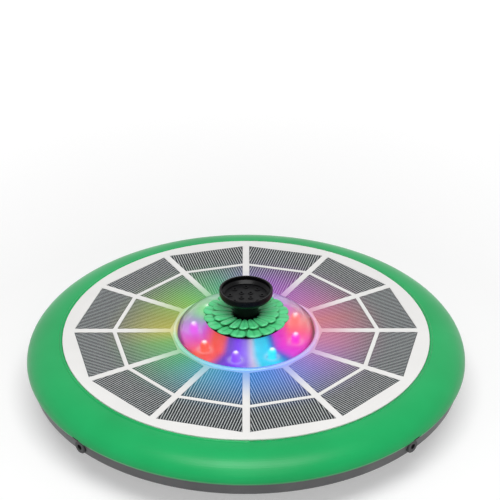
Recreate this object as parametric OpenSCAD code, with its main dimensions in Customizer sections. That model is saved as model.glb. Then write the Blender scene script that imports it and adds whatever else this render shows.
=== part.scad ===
// Floating solar fountain pump.
// A round solar panel sits in a green float ring over a dark pan. The pan has a well in its middle with
// the pump, closed below by a strainer. Above the well are a ring of lamps under a clear dome, a petal
// collar and a bowl-shaped spray head.
// Millimetres, +Z up, origin on the ground under the centre, front towards -Y.

/* [Float ring] */
// Outer diameter of the float ring
float_d = 260; // [250:1:300]
// Width of the green ring outside the panel
float_w = 21.6; // [20:0.2:24]
// Height of the ring above the seam with the pan
float_h = 14; // [13:0.5:18]
// Thickness of the ring's skin
float_wall = 2.4; // [1.8:0.1:2.8]
// Width of the flat lip between the panel and the curve of the ring
float_lip_w = 2.6; // [2.2:0.1:3.4]
// Height of the ring's widest point above the seam
float_tuck_h = 1.5; // [1:0.1:2.5]
// How far the ring draws in from its widest point to the seam
float_tuck_w = 0.8; // [0.4:0.1:1.2]

/* [Pan] */
// Height of the rubber feet under the pan
foot_h = 3; // [2.6:0.1:5]
// Diameter of a rubber foot
foot_d = 12; // [9:0.5:16]
// Number of rubber feet
foot_count = 6; // [4:1:8]
// Height of the pan from its underside to the seam
pan_h = 24.5; // [24:0.5:27]
// Thickness of the pan's sides
pan_wall = 2.2; // [1.8:0.1:2.4]
// Thickness of the pan's floor
pan_floor_t = 2.5; // [2.2:0.1:3]
// Height of the upright band under the seam
band_h = 7.5; // [7:0.5:9]
// Flare of the band from its foot to the seam
band_flare = 2; // [1:0.1:3]
// Inset of the band's top from the outer edge of the float ring
band_inset = 1; // [0.8:0.1:1.6]
// Run of the sloping side between the band and the flat floor
pan_slope_w = 35; // [33:0.5:38]
// Number of screws that hold the pan to the float ring
case_screw_count = 8; // [6:1:8]

/* [Solar panel] */
// Thickness of the panel board
panel_t = 1.5; // [1.2:0.1:2]
// Height of the panel's face above the top of the float ring
panel_proud = 0.5; // [0.2:0.1:1]
// Number of sectors that the spokes divide the panel into
sector_count = 12; // [12:2:16]
// Width of the white spokes between the cells
spoke_w = 4; // [2.5:0.1:5]
// Width of the white bar between the inner and the outer cells
bar_w = 2.4; // [1.4:0.1:3.4]
// White border from the corners of the outer cells to the panel's edge
panel_border = 6.1; // [4:0.1:8]
// Place of the middle bar, as a share of the way from the inner to the outer edge of the cells
bar_share = 0.578; // [0.45:0.002:0.65]
// Thickness of a solar cell
cell_t = 0.5; // [0.3:0.05:0.5]

/* [Lamps] */
// Outer diameter of the clear dome at the panel
dome_d = 81; // [80:0.5:84]
// Diameter of the dome's flat top
dome_top_d = 53; // [50:0.5:56]
// Height of the dome above the panel
dome_h = 9; // [8.6:0.2:12]
// Thickness of the dome
dome_wall = 1.8; // [1.4:0.1:2]
// Width of the clear collar round the dome
collar_w = 2.4; // [1.8:0.1:3]
// Height of the clear collar
collar_h = 0.9; // [0.6:0.1:1.6]
// Number of lamps
lamp_count = 9; // [6:1:10]
// Diameter of the circle of lamps
lamp_ring_d = 62; // [61:0.5:64]
// Diameter of one lamp
lamp_d = 5; // [4:0.5:5]

/* [Flower collar] */
// Diameter over the lower petals
flower_d = 50.4; // [47:0.2:52]
// Number of petals in the upper layer
upper_petal_count = 20; // [16:1:20]
// Number of petals in the lower layer
lower_petal_count = 12; // [10:1:14]
// Diameter over the upper petals
upper_petal_d = 38.2; // [34:0.2:40]
// Thickness of the flower's disc
flower_disc_t = 1.2; // [1:0.1:1.6]

/* [Spray head] */
// Diameter of the bowl
head_d = 31.4; // [30:0.2:36]
// Thickness of the bowl's rim
head_wall = 1.3; // [1.1:0.1:1.5]
// Diameter of the neck
neck_d = 14.6; // [14.4:0.1:15.4]
// Height of the bowl's rim above the panel
head_rise = 28.7; // [27:0.1:34]
// Height of the bowl from the neck to the rim
bowl_h = 7.3; // [7:0.1:9]
// Height of the upright part of the bowl's rim
bowl_rim_h = 2.3; // [2:0.1:3]
// Number of outlets in the outer ring of the spray plate
outlet_count = 8; // [6:1:10]
// Number of outlets in the middle of the spray plate
centre_outlet_count = 4; // [3:1:5]
// Diameter of an outlet's hole
outlet_d = 1.6; // [1.2:0.1:2]

/* [Pump] */
// Inner diameter of the well
well_d = 76; // [76:0.5:80]
// Depth of the lamp deck below the panel's face
lamp_drop = 5; // [4.8:0.1:5.6]
// Depth of the pump's axis under the roof of the well
pump_drop = 13; // [13:0.1:13.4]
// Radius of the volute at its narrow end
volute_start_r = 8.6; // [8.6:0.05:8.9]
// Radius of the volute at the outlet
volute_end_r = 10; // [9.9:0.05:10.2]
// Depth of the volute chamber along the pump's axis
volute_depth = 9.6; // [9.6:0.1:10.4]
// Inner diameter of the pump's outlet
pump_outlet_d = 6; // [5:0.1:6]
// Wall of the pump's outlet and casing
casing_wall = 1.6; // [1.4:0.1:1.7]
// Outer diameter of the motor can
can_d = 23.6; // [23:0.1:24]
// Length of the motor can behind the volute
can_l = 24.6; // [24:0.1:26]
// Diameter of the impeller
impeller_d = 15.6; // [14:0.1:16]
// Number of vanes
vane_count = 6; // [5:1:7]
// Diameter of the pump's shaft
shaft_d = 2.4; // [2:0.1:2.4]
// Diameter of the rotor magnet
magnet_d = 10.8; // [10:0.1:11]
// Length of the rotor magnet
magnet_l = 16; // [14:0.5:16]

/* [Strainer] */
// Gap between the ground and the strainer's underside
strainer_z = 1.5; // [1.4:0.1:2]
// Thickness of the strainer's floor
strainer_t = 2; // [1.6:0.1:2.2]
// Height of the strainer
strainer_h = 8.2; // [8:0.1:8.4]
// Thickness of the strainer's rim
strainer_wall = 1.8; // [1.4:0.1:2]
// Number of slots
slot_count = 24; // [16:1:28]
// Width of a slot
slot_w = 2.4; // [1.6:0.1:2.6]
// Thickness of the filter sponge
sponge_h = 5.4; // [4:0.1:5.5]

/* [Power] */
// Diameter of a battery cell
battery_d = 18.4; // [18:0.1:18.6]
// Length of a battery cell
battery_l = 65; // [60:0.5:66]
// Distance of a battery cell's axis from the edge of the pan's flat floor
battery_inset = 20; // [19:0.5:21]
// Length of the control board, as a share of the radius of the pan's flat floor
board_l_share = 0.544; // [0.48:0.002:0.564]
// Width of the control board, as a share of the way from the well to the edge of the flat floor
board_w_share = 0.654; // [0.616:0.002:0.656]
// Place of the power button, as a share of the way from the well to the edge of the flat floor
button_share = 0.576; // [0.54:0.002:0.614]
// Diameter of the power button
button_d = 10; // [8:0.2:11]
// Travel of the power button
button_travel = 1.2; // [0.8:0.1:1.4]
// Diameter of the hole in a rod socket
rod_hole_d = 3.2; // [2.8:0.1:3.6]
// Depth of the hole in a rod socket
rod_hole_l = 12; // [10:0.5:12.5]

/* [Hidden] */
$fn = 96;

// Overrun of a cut past the faces that it opens
over = 1;
// Gap between parts that lie beside each other
gap = 0.3;
// How far one shape of a piece runs into the next, so that they are one solid
sink = 0.5;
// Running fit between a round part and its bore, on the radius
fit = 0.05;
// Gap between a board or cell and the edge of its seat
seat_fit = 0.2;
// Small chamfers
edge = 0.5;

// Float ring and pan
float_r = float_d / 2;
panel_r = float_r - float_w;
pan_z = foot_h;
seam_z = pan_z + pan_h;
float_top_z = seam_z + float_h;
panel_top_z = float_top_z + panel_proud;
panel_z = panel_top_z - panel_t;
gasket_t = 0.6;
gasket_z = panel_z - gasket_t;
arc_steps = 20;
curve_r = panel_r + float_lip_w;
curve_w = float_r - curve_r;
curve_z = seam_z + float_tuck_h;
curve_h = float_top_z - curve_z;
panel_ledge = 2.9;
rib_t = 2;
rib_r = panel_r - panel_ledge;
skirt_r = rib_r + gap;
skirt_t = 2;
skirt_h = 1.5;
ledge_t = 2;
recess_r = panel_r + seat_fit;
bead_r = 0.9;
bead_sink = 0.3;
bead_gap = 0.15;
band_z = seam_z - band_h;
rim_r = float_r - band_inset;
band_r = rim_r - band_flare;
pan_floor_r = band_r - pan_slope_w;
tongue_h = 2;
tongue_t = 1.8;
tongue_drop = 2.5;
foam_r = rim_r - pan_wall - tongue_t - 2 * gap;
pan_floor_z = pan_z + pan_floor_t;
function slope_z(r) = pan_z + (r - pan_floor_r) * (band_z - pan_z) / (band_r - pan_floor_r);
function slope_in_z(r) =
    slope_z(r) + pan_floor_t - (pan_floor_t - pan_wall / 2) * (r - pan_floor_r) / pan_slope_w;

// Screws between the pan and the ring
case_screw_out = 8.6;
case_screw_r = panel_r + case_screw_out;
case_boss_r = 4.6;
ring_boss_r = 3.6;
boss_split_drop = 3.5;
boss_split_z = seam_z - boss_split_drop;
screw_head_drop = 8;
screw_head_z = seam_z - screw_head_drop;
case_head_r = 2.9;
case_head_h = 2;
case_shank_r = 1.5;
case_shank_l = 14;
ring_pilot_l = screw_head_z + case_shank_l - boss_split_z + over;

// Rod sockets
socket_r = 4;
socket_drop = 3;
socket_z = seam_z - socket_drop;
socket_l = 17.4;
socket_inset = 0.6;
socket_floor = 1;
socket_out_r = float_r - socket_inset;
socket_angles = [45, 135, 225, 315];
socket_boss_r = 5.8;
socket_boss_inset = 0.4;
notch_w = 9.6;
notch_h = 1.9;
socket_boss_out_r = rim_r - pan_wall - socket_boss_inset;

// Panel cells
half_sector = 180 / sector_count;
collar_gap = 0.5;
collar_r = dome_d / 2 + collar_gap + collar_w;
cell_collar_gap = 0.6;
cell_in = collar_r + cell_collar_gap;
cell_out = (panel_r - panel_border) * cos(half_sector);
cell_mid = cell_in + (cell_out - cell_in) * bar_share;
pocket_t = 0.6;
pocket_gap = 0.15;

// Lamp deck and dome
roof_top_z = panel_top_z - lamp_drop;
roof_t = 2;
roof_z = roof_top_z - roof_t;
dome_r = dome_d / 2;
dome_top_r = dome_top_d / 2;
dome_top_z = panel_top_z + dome_h;
dome_step = 0.2;
dome_rise_z = panel_top_z + dome_step;
dome_flange_w = 2.3;
seal_t = 0.6;
dome_lift = 1.8;
dome_z = roof_top_z + dome_lift;
dome_seal_z = dome_z - seal_t;
panel_hole_r = dome_r + gap;
led_board_t = 1.6;
led_board_r = dome_r - dome_wall - gap;
led_board_in_r = 27.4;
resistor = 2.4;
lamp_ring_r = lamp_ring_d / 2;
lamp_r = lamp_d / 2;
lamp_first_angle = -101;
lamp_h = 5.8;
lamp_flange_h = 1;
reflector_t = 1;
reflector_lift = 1.6;
reflector_z = roof_top_z + led_board_t + reflector_lift;
reflector_in_r = 25;
reflector_top_r = 21;

// Chimney, riser and nozzle
well_r = well_d / 2;
well_wall = 2;
outlet_r = pump_outlet_d / 2;
riser_r = outlet_r + casing_wall;
stem_wall = 1.75;
stem_r = riser_r + fit + stem_wall;
chimney_r = stem_r + seat_fit;
chimney_wall = 1.6;
chimney_out_r = chimney_r + chimney_wall;
seat_t = 1;
seat_top_z = dome_top_z + seat_t;
flower_r = flower_d / 2;
seat_inset = 1;
seat_r = flower_r - seat_inset;
riser_drop = 1;
riser_socket_h = 4.2;
riser_top_z = dome_top_z - riser_drop;
groove_w = 1.6;
groove_z = riser_top_z - 3 * groove_w;
stem_z = panel_top_z;
stem_step_gap = 0.6;
stem_step_z = riser_top_z + stem_step_gap;
neck_r = neck_d / 2;
neck_gap = 0.15;
head_r = head_d / 2;
rim_z = panel_top_z + head_rise;
bowl_z = rim_z - bowl_h;
bowl_curve_h = bowl_h - bowl_rim_h;
shoulder_w = 0.8;
spigot_r = stem_r - shoulder_w;
shoulder_h = 0.1;
shoulder_z = seat_top_z + shoulder_h;
bowl_floor_t = 1.2;
plenum_z = bowl_z + bowl_floor_t;
plate_t = 1.1;
plate_lift = 1.7;
plate_z = bowl_z + plate_lift;
plate_seat_w = 1.9;
plate_r = head_r - head_wall - plate_seat_w;
plate_fit = 0.1;
outlet_ring_share = 0.75;
centre_ring_share = 0.3;
stem_top_drop = 0.6;
stem_top_z = plenum_z - stem_top_drop;

// Flower
flower_hole_r = neck_r + neck_gap;
upper_petal_r = upper_petal_d / 2;
petal_root_r = 0.95;
petal_tip_r = 2.3;
petal_root_in = 0.9;
petal_start = flower_hole_r + petal_root_in;
petal_root_z = 1.3;
petal_sink = 0.35;
lower_petal_r = 6;
lower_petal_t = 0.5;
lower_petal_rise = 1.1;
lower_petal_gap = 1;

// Pump
throat_side = 0.2;
pump_x = outlet_r + throat_side - volute_end_r;
pump_z = roof_z - pump_drop;
stub_top_z = roof_top_z;
volute_a0 = acos((volute_end_r - pump_outlet_d) / volute_start_r);
volute_throat = volute_start_r * sin(volute_a0);
volute_steps = 36;
chamber_half = volute_depth / 2;
can_r = can_d / 2;
can_back = -chamber_half - casing_wall - can_l;
cup_wall = 1;
rotor_gap = 0.5;
cup_r = magnet_d / 2 + rotor_gap;
cup_l = 21.6;
cup_end = -chamber_half - cup_l;
shaft_r = shaft_d / 2;
bush_r = 2.8;
bush_l = 1.6;
shaft_sink = 1.6;
cover_t = 2;
shaft_start = cup_end - shaft_sink + seat_fit;
shaft_end = chamber_half + cover_t - casing_wall / 2 - seat_fit;
eye_r = 4.6;
spider_r = 2.4;
spider_w = 1.4;
spider_arms = 3;
cap_t = 2.4;
impeller_r = impeller_d / 2;
impeller_disc_t = 1;
impeller_back = -3.6;
vane_h = 5.6;
vane_t = 0.9;
vane_sweep = 55;
vane_steps = 8;
hub_r = 2.4;
sleeve_r = 2.8;
magnet_gap = 0.6;
sleeve_start = impeller_back - magnet_gap - magnet_l;
screw_plate_t = 2;
screw_plate_y = 7;
screw_plate_w = 8;
pump_screw_xs = [-20, 8];
screw_span = pump_screw_xs[1] - pump_screw_xs[0];
pump_screw_y = screw_plate_y + screw_plate_w / 2;
pump_boss_r = 3;
pump_boss_h = 2.9;
pump_shank_r = 1.2;
pump_shank_l = 5.6;
pump_head_r = 2.2;
pump_head_h = 1.6;
stator_l = 15;
stator_lift = 4;
coil_count = 4;

// Strainer
strainer_gap = 1.8;
strainer_r = well_r - strainer_gap;
tab_r = well_r - gap;
tab_h = 2;
tab_angle = 22;
lug_angle = 24;
lug_h = 1.9;
lug_gap = 0.2;
tab_drop = 0.3;
tab_z = strainer_z + strainer_h - tab_h - tab_drop;
tab_count = 3;
slot_in_r = 12;
slot_margin = 2.6;
slot_out_r = strainer_r - strainer_wall - slot_margin;
grip_l = 20;
grip_w = 5;
grip_h = 1.2;
sponge_gap = 0.4;
sponge_r = strainer_r - strainer_wall - sponge_gap;

// Power
floor_in_r = well_r + well_wall;
floor_w = pan_floor_r - floor_in_r;
battery_x = pan_floor_r - battery_inset;
battery_r = battery_d / 2;
battery_lift = 0.6;
battery_z = pan_floor_z + battery_lift + battery_r;
terminal_r = 3;
terminal_h = 1;
saddle_l = 6;
saddle_w = 20;
saddle_h = 8;
saddle_places_share = 0.34;
saddle_y = battery_l * saddle_places_share;
post_r = 4;
post_share = 0.385;
post_angle = 60;
post_ring_r = floor_in_r + floor_w * post_share;
post_xs = [-post_ring_r * cos(post_angle), post_ring_r * cos(post_angle)];
post_ys = [-post_ring_r * sin(post_angle), post_ring_r * sin(post_angle)];
button_y = floor_in_r + floor_w * button_share;
board_l = pan_floor_r * board_l_share;
board_w = floor_w * board_w_share;
board_t = 1.6;
board_lift = 6.5;
board_z = pan_floor_z + board_lift;
board_shift = 1;
board_y = button_y + board_shift;
standoff_r = 2.5;
standoff_in = 3.4;
board_hole_x = board_l / 2 - standoff_in;
board_hole_y = board_w / 2 - standoff_in;
board_pilot_r = 0.9;
board_head_r = 1.9;
board_head_h = 1.2;
board_shank_l = 5;
button_r = button_d / 2;
button_flange_w = 1.6;
button_flange_h = 1.2;
button_seal_t = 0.4;
button_stem_r = 1.8;
button_proud = 0.8;
guard_wall = 1.8;
guard_gap = 1;
guard_h = 1.6;
switch_w = 6;
switch_h = 2.4;
plunger_r = 1.6;
plunger_h = 0.9;
plunger_gap = 0.1;
button_top_z = board_z - switch_h - plunger_h - button_travel - plunger_gap;
connector = [6, 5, 3.4];
lead_r = 1.4;
wire_r = 0.8;
thin_wire_r = 0.4;
thin_wire_z = roof_top_z + thin_wire_r + fit;
chip_place_share = 0.12;
chip_share = 0.2;
chip_w = board_l * chip_share;
bend_swell = 0.04;
grommet_wall = 1.2;
grommet_flange = 1.2;
grommet_l = 5;
lead_z = pump_z;

// Repeats its children n times round the centre, at radius r
module around(n, r = 0, first = 0) {
    for (i = [0:n - 1])
        rotate(first + 360 * i / n)
            translate([r, 0, 0])
                children();
}

// A ring between two radii, standing on z
module ring(outer, inner, z, h) {
    translate([0, 0, z])
        difference() {
            cylinder(r = outer, h = h);
            translate([0, 0, -over])
                cylinder(r = inner, h = h + 2 * over);
        }
}

// A straight round bar between two points
module bar(a, b, r) {
    d = b - a;
    translate(a)
        rotate([0, acos(d[2] / norm(d)), atan2(d[1], d[0])])
            cylinder(r = r, h = norm(d));
}

// A lead through a list of points, with round bends
module lead(points, r) {
    for (i = [1:len(points) - 1])
        bar(points[i - 1], points[i], r);
    if (len(points) > 2)
        for (i = [1:len(points) - 2])
            translate(points[i])
                sphere(r = r + bend_swell);
}

// A screw with its head down, from the underside of the head up
module screw(head_r, head_h, shank_r, shank_l) {
    translate([0, 0, -head_h])
        difference() {
            cylinder(r = head_r, h = head_h);
            translate([0, 0, -over])
                cylinder(r = shank_r, h = over + head_h / 2, $fn = 6);
        }
    cylinder(r = shank_r, h = shank_l);
}

function arc(cx, cz, rx, rz, a0, a1) = [
    for (i = [0:arc_steps])
        let (a = a0 + (a1 - a0) * i / arc_steps)
            [cx + rx * cos(a), cz + rz * sin(a)]
];

// Float ring

module float_envelope() {
    rotate_extrude()
        polygon(concat(
            [[skirt_r, boss_split_z], [skirt_r, float_top_z]],
            arc(curve_r, curve_z, curve_w - float_wall / 2, curve_h - float_wall / 2, 90, 0),
            [[rim_r - pan_wall, boss_split_z]]));
}

module float_section() {
    polygon(concat(
        [[skirt_r, seam_z - skirt_h], [skirt_r, gasket_z], [recess_r, gasket_z], [recess_r, float_top_z]],
        arc(curve_r, curve_z, curve_w, curve_h, 90, 0),
        [[float_r - float_tuck_w, seam_z], [float_r - float_tuck_w - float_wall, seam_z]],
        arc(curve_r, curve_z, curve_w - float_wall, curve_h - float_wall, 0, 90),
        [[skirt_r + skirt_t, gasket_z - ledge_t], [skirt_r + skirt_t, seam_z - skirt_h]]));
    translate([recess_r + bead_r + bead_gap, float_top_z - bead_sink])
        circle(r = bead_r);
}

// The opening in the ring's lower edge round a rod socket, with a wedge on the side away from the front
module socket_notch(side) {
    translate([socket_boss_out_r - over, 0, 0])
        rotate([90, 0, 90]) {
            translate([0, socket_z])
                cylinder(r = socket_r + gap, h = float_w);
            linear_extrude(float_w)
                polygon([
                    [0, seam_z - over], [side * notch_w, seam_z - over],
                    [side * socket_r, seam_z + notch_h], [0, seam_z + notch_h]]);
        }
}

module float_ring() {
    color([0.18, 0.7, 0.42])
        difference() {
            union() {
                rotate_extrude()
                    float_section();
                intersection() {
                    around(case_screw_count, case_screw_r, 180 / case_screw_count)
                        translate([0, 0, boss_split_z])
                            cylinder(r = ring_boss_r, h = float_top_z - boss_split_z);
                    float_envelope();
                }
            }
            around(case_screw_count, case_screw_r, 180 / case_screw_count)
                translate([0, 0, boss_split_z - over])
                    cylinder(r = case_shank_r + fit, h = ring_pilot_l + over);
            for (a = socket_angles)
                rotate(a)
                    socket_notch(sign(cos(a)));
        }
}

module foam_float() {
    color([0.92, 0.92, 0.9])
        difference() {
            rotate_extrude()
                polygon(concat(
                    [[skirt_r + skirt_t + gap, slope_in_z(skirt_r + skirt_t + gap) + gap],
                    [skirt_r + skirt_t + gap, gasket_z - ledge_t - gap]],
                    arc(curve_r, curve_z, foam_r - curve_r, curve_h - float_wall - gap, 90, 0),
                    [[foam_r, band_z + pan_wall],
                    [band_r - 2 * pan_wall - gap, slope_in_z(band_r - 2 * pan_wall) + gap]]));
            around(case_screw_count, case_screw_r, 180 / case_screw_count)
                translate([0, 0, pan_z])
                    cylinder(r = case_boss_r + gap, h = float_top_z);
            for (a = socket_angles)
                rotate(a)
                    translate([panel_r, 0, socket_z])
                        rotate([0, 90, 0])
                            cylinder(r = socket_boss_r + gap, h = float_w);
        }
}

// Pan

module pan_side() {
    polygon([
        [pan_floor_r - over, pan_z], [pan_floor_r, pan_z], [band_r, band_z], [rim_r, seam_z],
        [rim_r - pan_wall, seam_z], [band_r - pan_wall, slope_in_z(band_r - pan_wall)],
        [pan_floor_r, pan_floor_z], [pan_floor_r - over, pan_floor_z]]);
}

module pan_section() {
    translate([well_r, pan_z])
        square([pan_floor_r - well_r, pan_floor_t]);
    pan_side();
    translate([well_r, pan_z])
        square([well_wall, roof_top_z - pan_z]);
    translate([chimney_r, roof_z])
        square([well_r + well_wall - chimney_r, roof_t]);
    translate([chimney_r, roof_z])
        square([chimney_wall, dome_top_z - roof_z]);
    translate([led_board_r + gap, roof_z])
        square([dome_r + dome_flange_w - led_board_r, dome_seal_z - roof_z]);
    translate([rib_r - rib_t, slope_z(rib_r) + sink])
        square([rib_t, gasket_z - slope_z(rib_r) - sink]);
    translate([rim_r - pan_wall - tongue_t, seam_z - tongue_drop])
        square([tongue_t, tongue_drop + tongue_h]);
    translate([rim_r - pan_wall - tongue_t, seam_z - tongue_drop])
        square([tongue_t + pan_wall / 2, tongue_drop - sink]);
}

module pan_envelope() {
    rotate_extrude()
        polygon([
            [pan_floor_r - over, pan_z], [pan_floor_r, pan_z], [band_r, band_z],
            [rim_r - pan_wall / 2, seam_z - sink], [socket_boss_out_r, seam_z],
            [socket_boss_out_r, float_top_z], [pan_floor_r - over, float_top_z]]);
}

module pan_bosses() {
    intersection() {
        union() {
            around(case_screw_count, case_screw_r, 180 / case_screw_count)
                translate([0, 0, pan_z])
                    cylinder(r = case_boss_r, h = boss_split_z - pan_z);
            for (a = socket_angles)
                rotate(a)
                    translate([socket_out_r - socket_l, 0, socket_z])
                        rotate([0, 90, 0])
                            cylinder(r = socket_boss_r, h = socket_boss_out_r - socket_out_r + socket_l);
        }
        pan_envelope();
    }
    for (x = post_xs, y = post_ys)
        translate([x, y, pan_floor_z - over])
            cylinder(r = post_r, h = panel_z - pan_floor_z + over);
    for (x = pump_screw_xs)
        translate([x, pump_screw_y, roof_top_z - over])
            cylinder(r = pump_boss_r, h = pump_boss_h + over);
    for (x = [-1, 1], y = [-1, 1])
        translate([x * board_hole_x, board_y + y * board_hole_y, pan_floor_z - over])
            cylinder(r = standoff_r, h = board_z - pan_floor_z + over);
    translate([0, button_y, 0])
        ring(button_r + guard_gap + guard_wall, button_r + guard_gap, pan_z - guard_h, guard_h + over);
}

module bayonet_lugs() {
    for (i = [0:tab_count - 1])
        rotate([0, 0, 360 * i / tab_count - lug_angle / 2])
            rotate_extrude(angle = lug_angle)
                translate([strainer_r + gap, tab_z - lug_gap - lug_h])
                    square([well_r + over - strainer_r - gap, lug_h]);
}

module base_pan() {
    color([0.3, 0.31, 0.32]) {
        difference() {
            union() {
                rotate_extrude()
                    pan_section();
                pan_bosses();
                bayonet_lugs();
            }
            around(case_screw_count, case_screw_r, 180 / case_screw_count) {
                cylinder(r = case_head_r + gap, h = screw_head_z);
                cylinder(r = case_shank_r + seat_fit, h = seam_z);
            }
            for (a = socket_angles)
                rotate(a)
                    translate([socket_out_r - socket_l + socket_floor, 0, socket_z])
                        rotate([0, 90, 0])
                            cylinder(r = socket_r + fit, h = socket_l + over);
            for (x = pump_screw_xs)
                translate([x, pump_screw_y, roof_z - over])
                    cylinder(r = pump_shank_r + fit, h = pump_shank_l);
            for (x = [-1, 1], y = [-1, 1])
                translate([x * board_hole_x, board_y + y * board_hole_y, board_z - board_shank_l])
                    cylinder(r = board_pilot_r + fit, h = board_shank_l + over);
            translate([0, button_y, 0])
                cylinder(r = button_r + gap, h = pan_floor_z + over);
            around(foot_count, pan_floor_r - foot_d)
                translate([0, 0, pan_z - over])
                    cylinder(r = foot_d / 2 + fit, h = over + pan_floor_t / 3);
            translate([pump_x, well_r - over, lead_z])
                rotate([-90, 0, 0])
                    cylinder(r = lead_r + grommet_wall, h = well_wall + 2 * over);
            translate([0, led_board_r, thin_wire_z])
                rotate([-90, 0, 0])
                    cylinder(r = thin_wire_r + seat_fit, h = dome_flange_w + dome_wall + 2 * over);
        }
    }
}

module rod_sockets() {
    color([0.2, 0.21, 0.21])
        for (a = socket_angles)
            rotate(a)
                translate([socket_out_r, 0, socket_z])
                    rotate([0, -90, 0])
                        difference() {
                            union() {
                                cylinder(r1 = socket_r - edge, r2 = socket_r, h = edge);
                                translate([0, 0, edge])
                                    cylinder(r = socket_r, h = socket_l - edge - socket_floor - fit);
                            }
                            translate([0, 0, -over])
                                cylinder(r = rod_hole_d / 2, h = rod_hole_l + over);
                        }
}

module rubber_feet() {
    color([0.12, 0.12, 0.12])
        around(foot_count, pan_floor_r - foot_d) {
            cylinder(r1 = foot_d / 2 - edge, r2 = foot_d / 2, h = edge);
            translate([0, 0, edge])
                cylinder(r = foot_d / 2, h = foot_h + pan_floor_t / 3 - edge);
        }
}

module case_screws() {
    color([0.72, 0.72, 0.7])
        around(case_screw_count, case_screw_r, 180 / case_screw_count)
            translate([0, 0, screw_head_z])
                screw(case_head_r, case_head_h, case_shank_r, case_shank_l);
}

// Panel

// One cell between two distances from the centre, cut back from the spokes on both sides
module cell(inner, outer, gap_in, h) {
    half = spoke_w / 2 / cos(half_sector);
    a = inner + gap_in;
    b = outer - gap_in;
    s = half + gap_in / cos(half_sector);
    rotate(half_sector)
        linear_extrude(h)
            polygon([
                [a, -a * tan(half_sector) + s], [b, -b * tan(half_sector) + s],
                [b, b * tan(half_sector) - s], [a, a * tan(half_sector) - s]]);
}

module panel_board() {
    color([0.93, 0.94, 0.95])
        difference() {
            ring(panel_r, panel_hole_r, panel_z, panel_t);
            around(sector_count)
                translate([0, 0, panel_top_z - pocket_t]) {
                    cell(cell_in, cell_mid - bar_w / 2, 0, pocket_t + over);
                    cell(cell_mid + bar_w / 2, cell_out, 0, pocket_t + over);
                }
        }
}

module inner_cells() {
    color([0.22, 0.23, 0.26])
        around(sector_count)
            translate([0, 0, panel_top_z - pocket_t])
                cell(cell_in, cell_mid - bar_w / 2, pocket_gap, cell_t);
}

module outer_cells() {
    color([0.25, 0.26, 0.28])
        around(sector_count)
            translate([0, 0, panel_top_z - pocket_t])
                cell(cell_mid + bar_w / 2, cell_out, pocket_gap, cell_t);
}

module panel_gasket() {
    color([0.1, 0.1, 0.1])
        ring(panel_r - seat_fit, rib_r - rib_t + seat_fit, gasket_z, gasket_t);
}

// Lamps

module light_collar() {
    color([0.7, 0.85, 0.97, 0.6])
        rotate_extrude()
            polygon([
                [dome_r + collar_gap, panel_top_z], [collar_r, panel_top_z],
                [collar_r, panel_top_z + collar_h / 2], [collar_r - collar_h / 2, panel_top_z + collar_h],
                [dome_r + collar_gap, panel_top_z + collar_h]]);
}

module led_dome() {
    color([0.85, 0.9, 1, 0.4])
        rotate_extrude()
            polygon(concat(
                [[dome_r - dome_wall, dome_z], [dome_r + dome_flange_w, dome_z],
                [dome_r + dome_flange_w, panel_z], [dome_r, panel_z]],
                arc(dome_top_r, dome_rise_z, dome_r - dome_top_r, dome_top_z - dome_rise_z, 0, 90),
                [[chimney_out_r + fit, dome_top_z], [chimney_out_r + fit, dome_top_z - dome_wall]],
                arc(
                    dome_top_r, dome_rise_z, dome_r - dome_top_r - dome_wall,
                    dome_top_z - dome_rise_z - dome_wall, 90, 0)));
}

module dome_seal() {
    color([0.1, 0.1, 0.1])
        ring(dome_r + dome_flange_w - seat_fit, dome_r + seat_fit, dome_seal_z, seal_t);
}

module led_board() {
    color([0.9, 0.92, 0.9]) {
        ring(led_board_r, led_board_in_r, roof_top_z, led_board_t);
        around(lamp_count, lamp_ring_r, lamp_first_angle + 180 / lamp_count)
            translate([-resistor / 2, -resistor / 2, roof_top_z + led_board_t / 2])
                cube([resistor, resistor, led_board_t]);
    }
}

module leds() {
    color([0.95, 0.95, 1, 0.8])
        around(lamp_count, lamp_ring_r, lamp_first_angle)
            translate([0, 0, roof_top_z + led_board_t]) {
                cylinder(r = lamp_r + edge, h = lamp_flange_h);
                cylinder(r = lamp_r, h = lamp_h);
                translate([0, 0, lamp_h])
                    sphere(r = lamp_r);
            }
}

module reflector() {
    color([0.95, 0.95, 0.96])
        difference() {
            rotate_extrude()
                polygon([
                    [reflector_in_r, reflector_z], [led_board_r, reflector_z],
                    [led_board_r, roof_top_z + led_board_t],
                    [led_board_r + reflector_t / 4, roof_top_z + led_board_t],
                    [led_board_r + reflector_t / 4, reflector_z + reflector_t],
                    [reflector_in_r + reflector_t, reflector_z + reflector_t],
                    [reflector_top_r + reflector_t, dome_top_z - dome_wall - gap],
                    [reflector_top_r, dome_top_z - dome_wall - gap]]);
            around(lamp_count, lamp_ring_r, lamp_first_angle)
                translate([0, 0, reflector_z - over])
                    cylinder(r = lamp_r + edge + gap, h = reflector_t + 2 * over);
        }
}

// Nozzle and flower

module nozzle_seat() {
    color([0.05, 0.05, 0.05])
        rotate_extrude()
            polygon([
                [chimney_r, dome_top_z], [seat_r - edge, dome_top_z], [seat_r, dome_top_z + edge],
                [seat_r - edge / 2, seat_top_z], [chimney_r, seat_top_z]]);
}

// A long rounded petal of the upper layer: a turned drop, lying out and a little down from its root
module upper_petal() {
    tip = upper_petal_r - petal_tip_r;
    root_z = seat_top_z + petal_root_z;
    tip_z = seat_top_z - petal_sink;
    d = [tip - petal_start, 0, tip_z - root_z];
    translate([petal_start, 0, root_z])
        rotate([0, acos(d[2] / norm(d)), 0])
            rotate_extrude()
                polygon(concat(
                    [[0, 0], [petal_root_r, 0]],
                    [for (a = [-10:20:70]) [petal_tip_r * cos(a), norm(d) + petal_tip_r * sin(a)]],
                    [[0, norm(d) + petal_tip_r]]));
}

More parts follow.
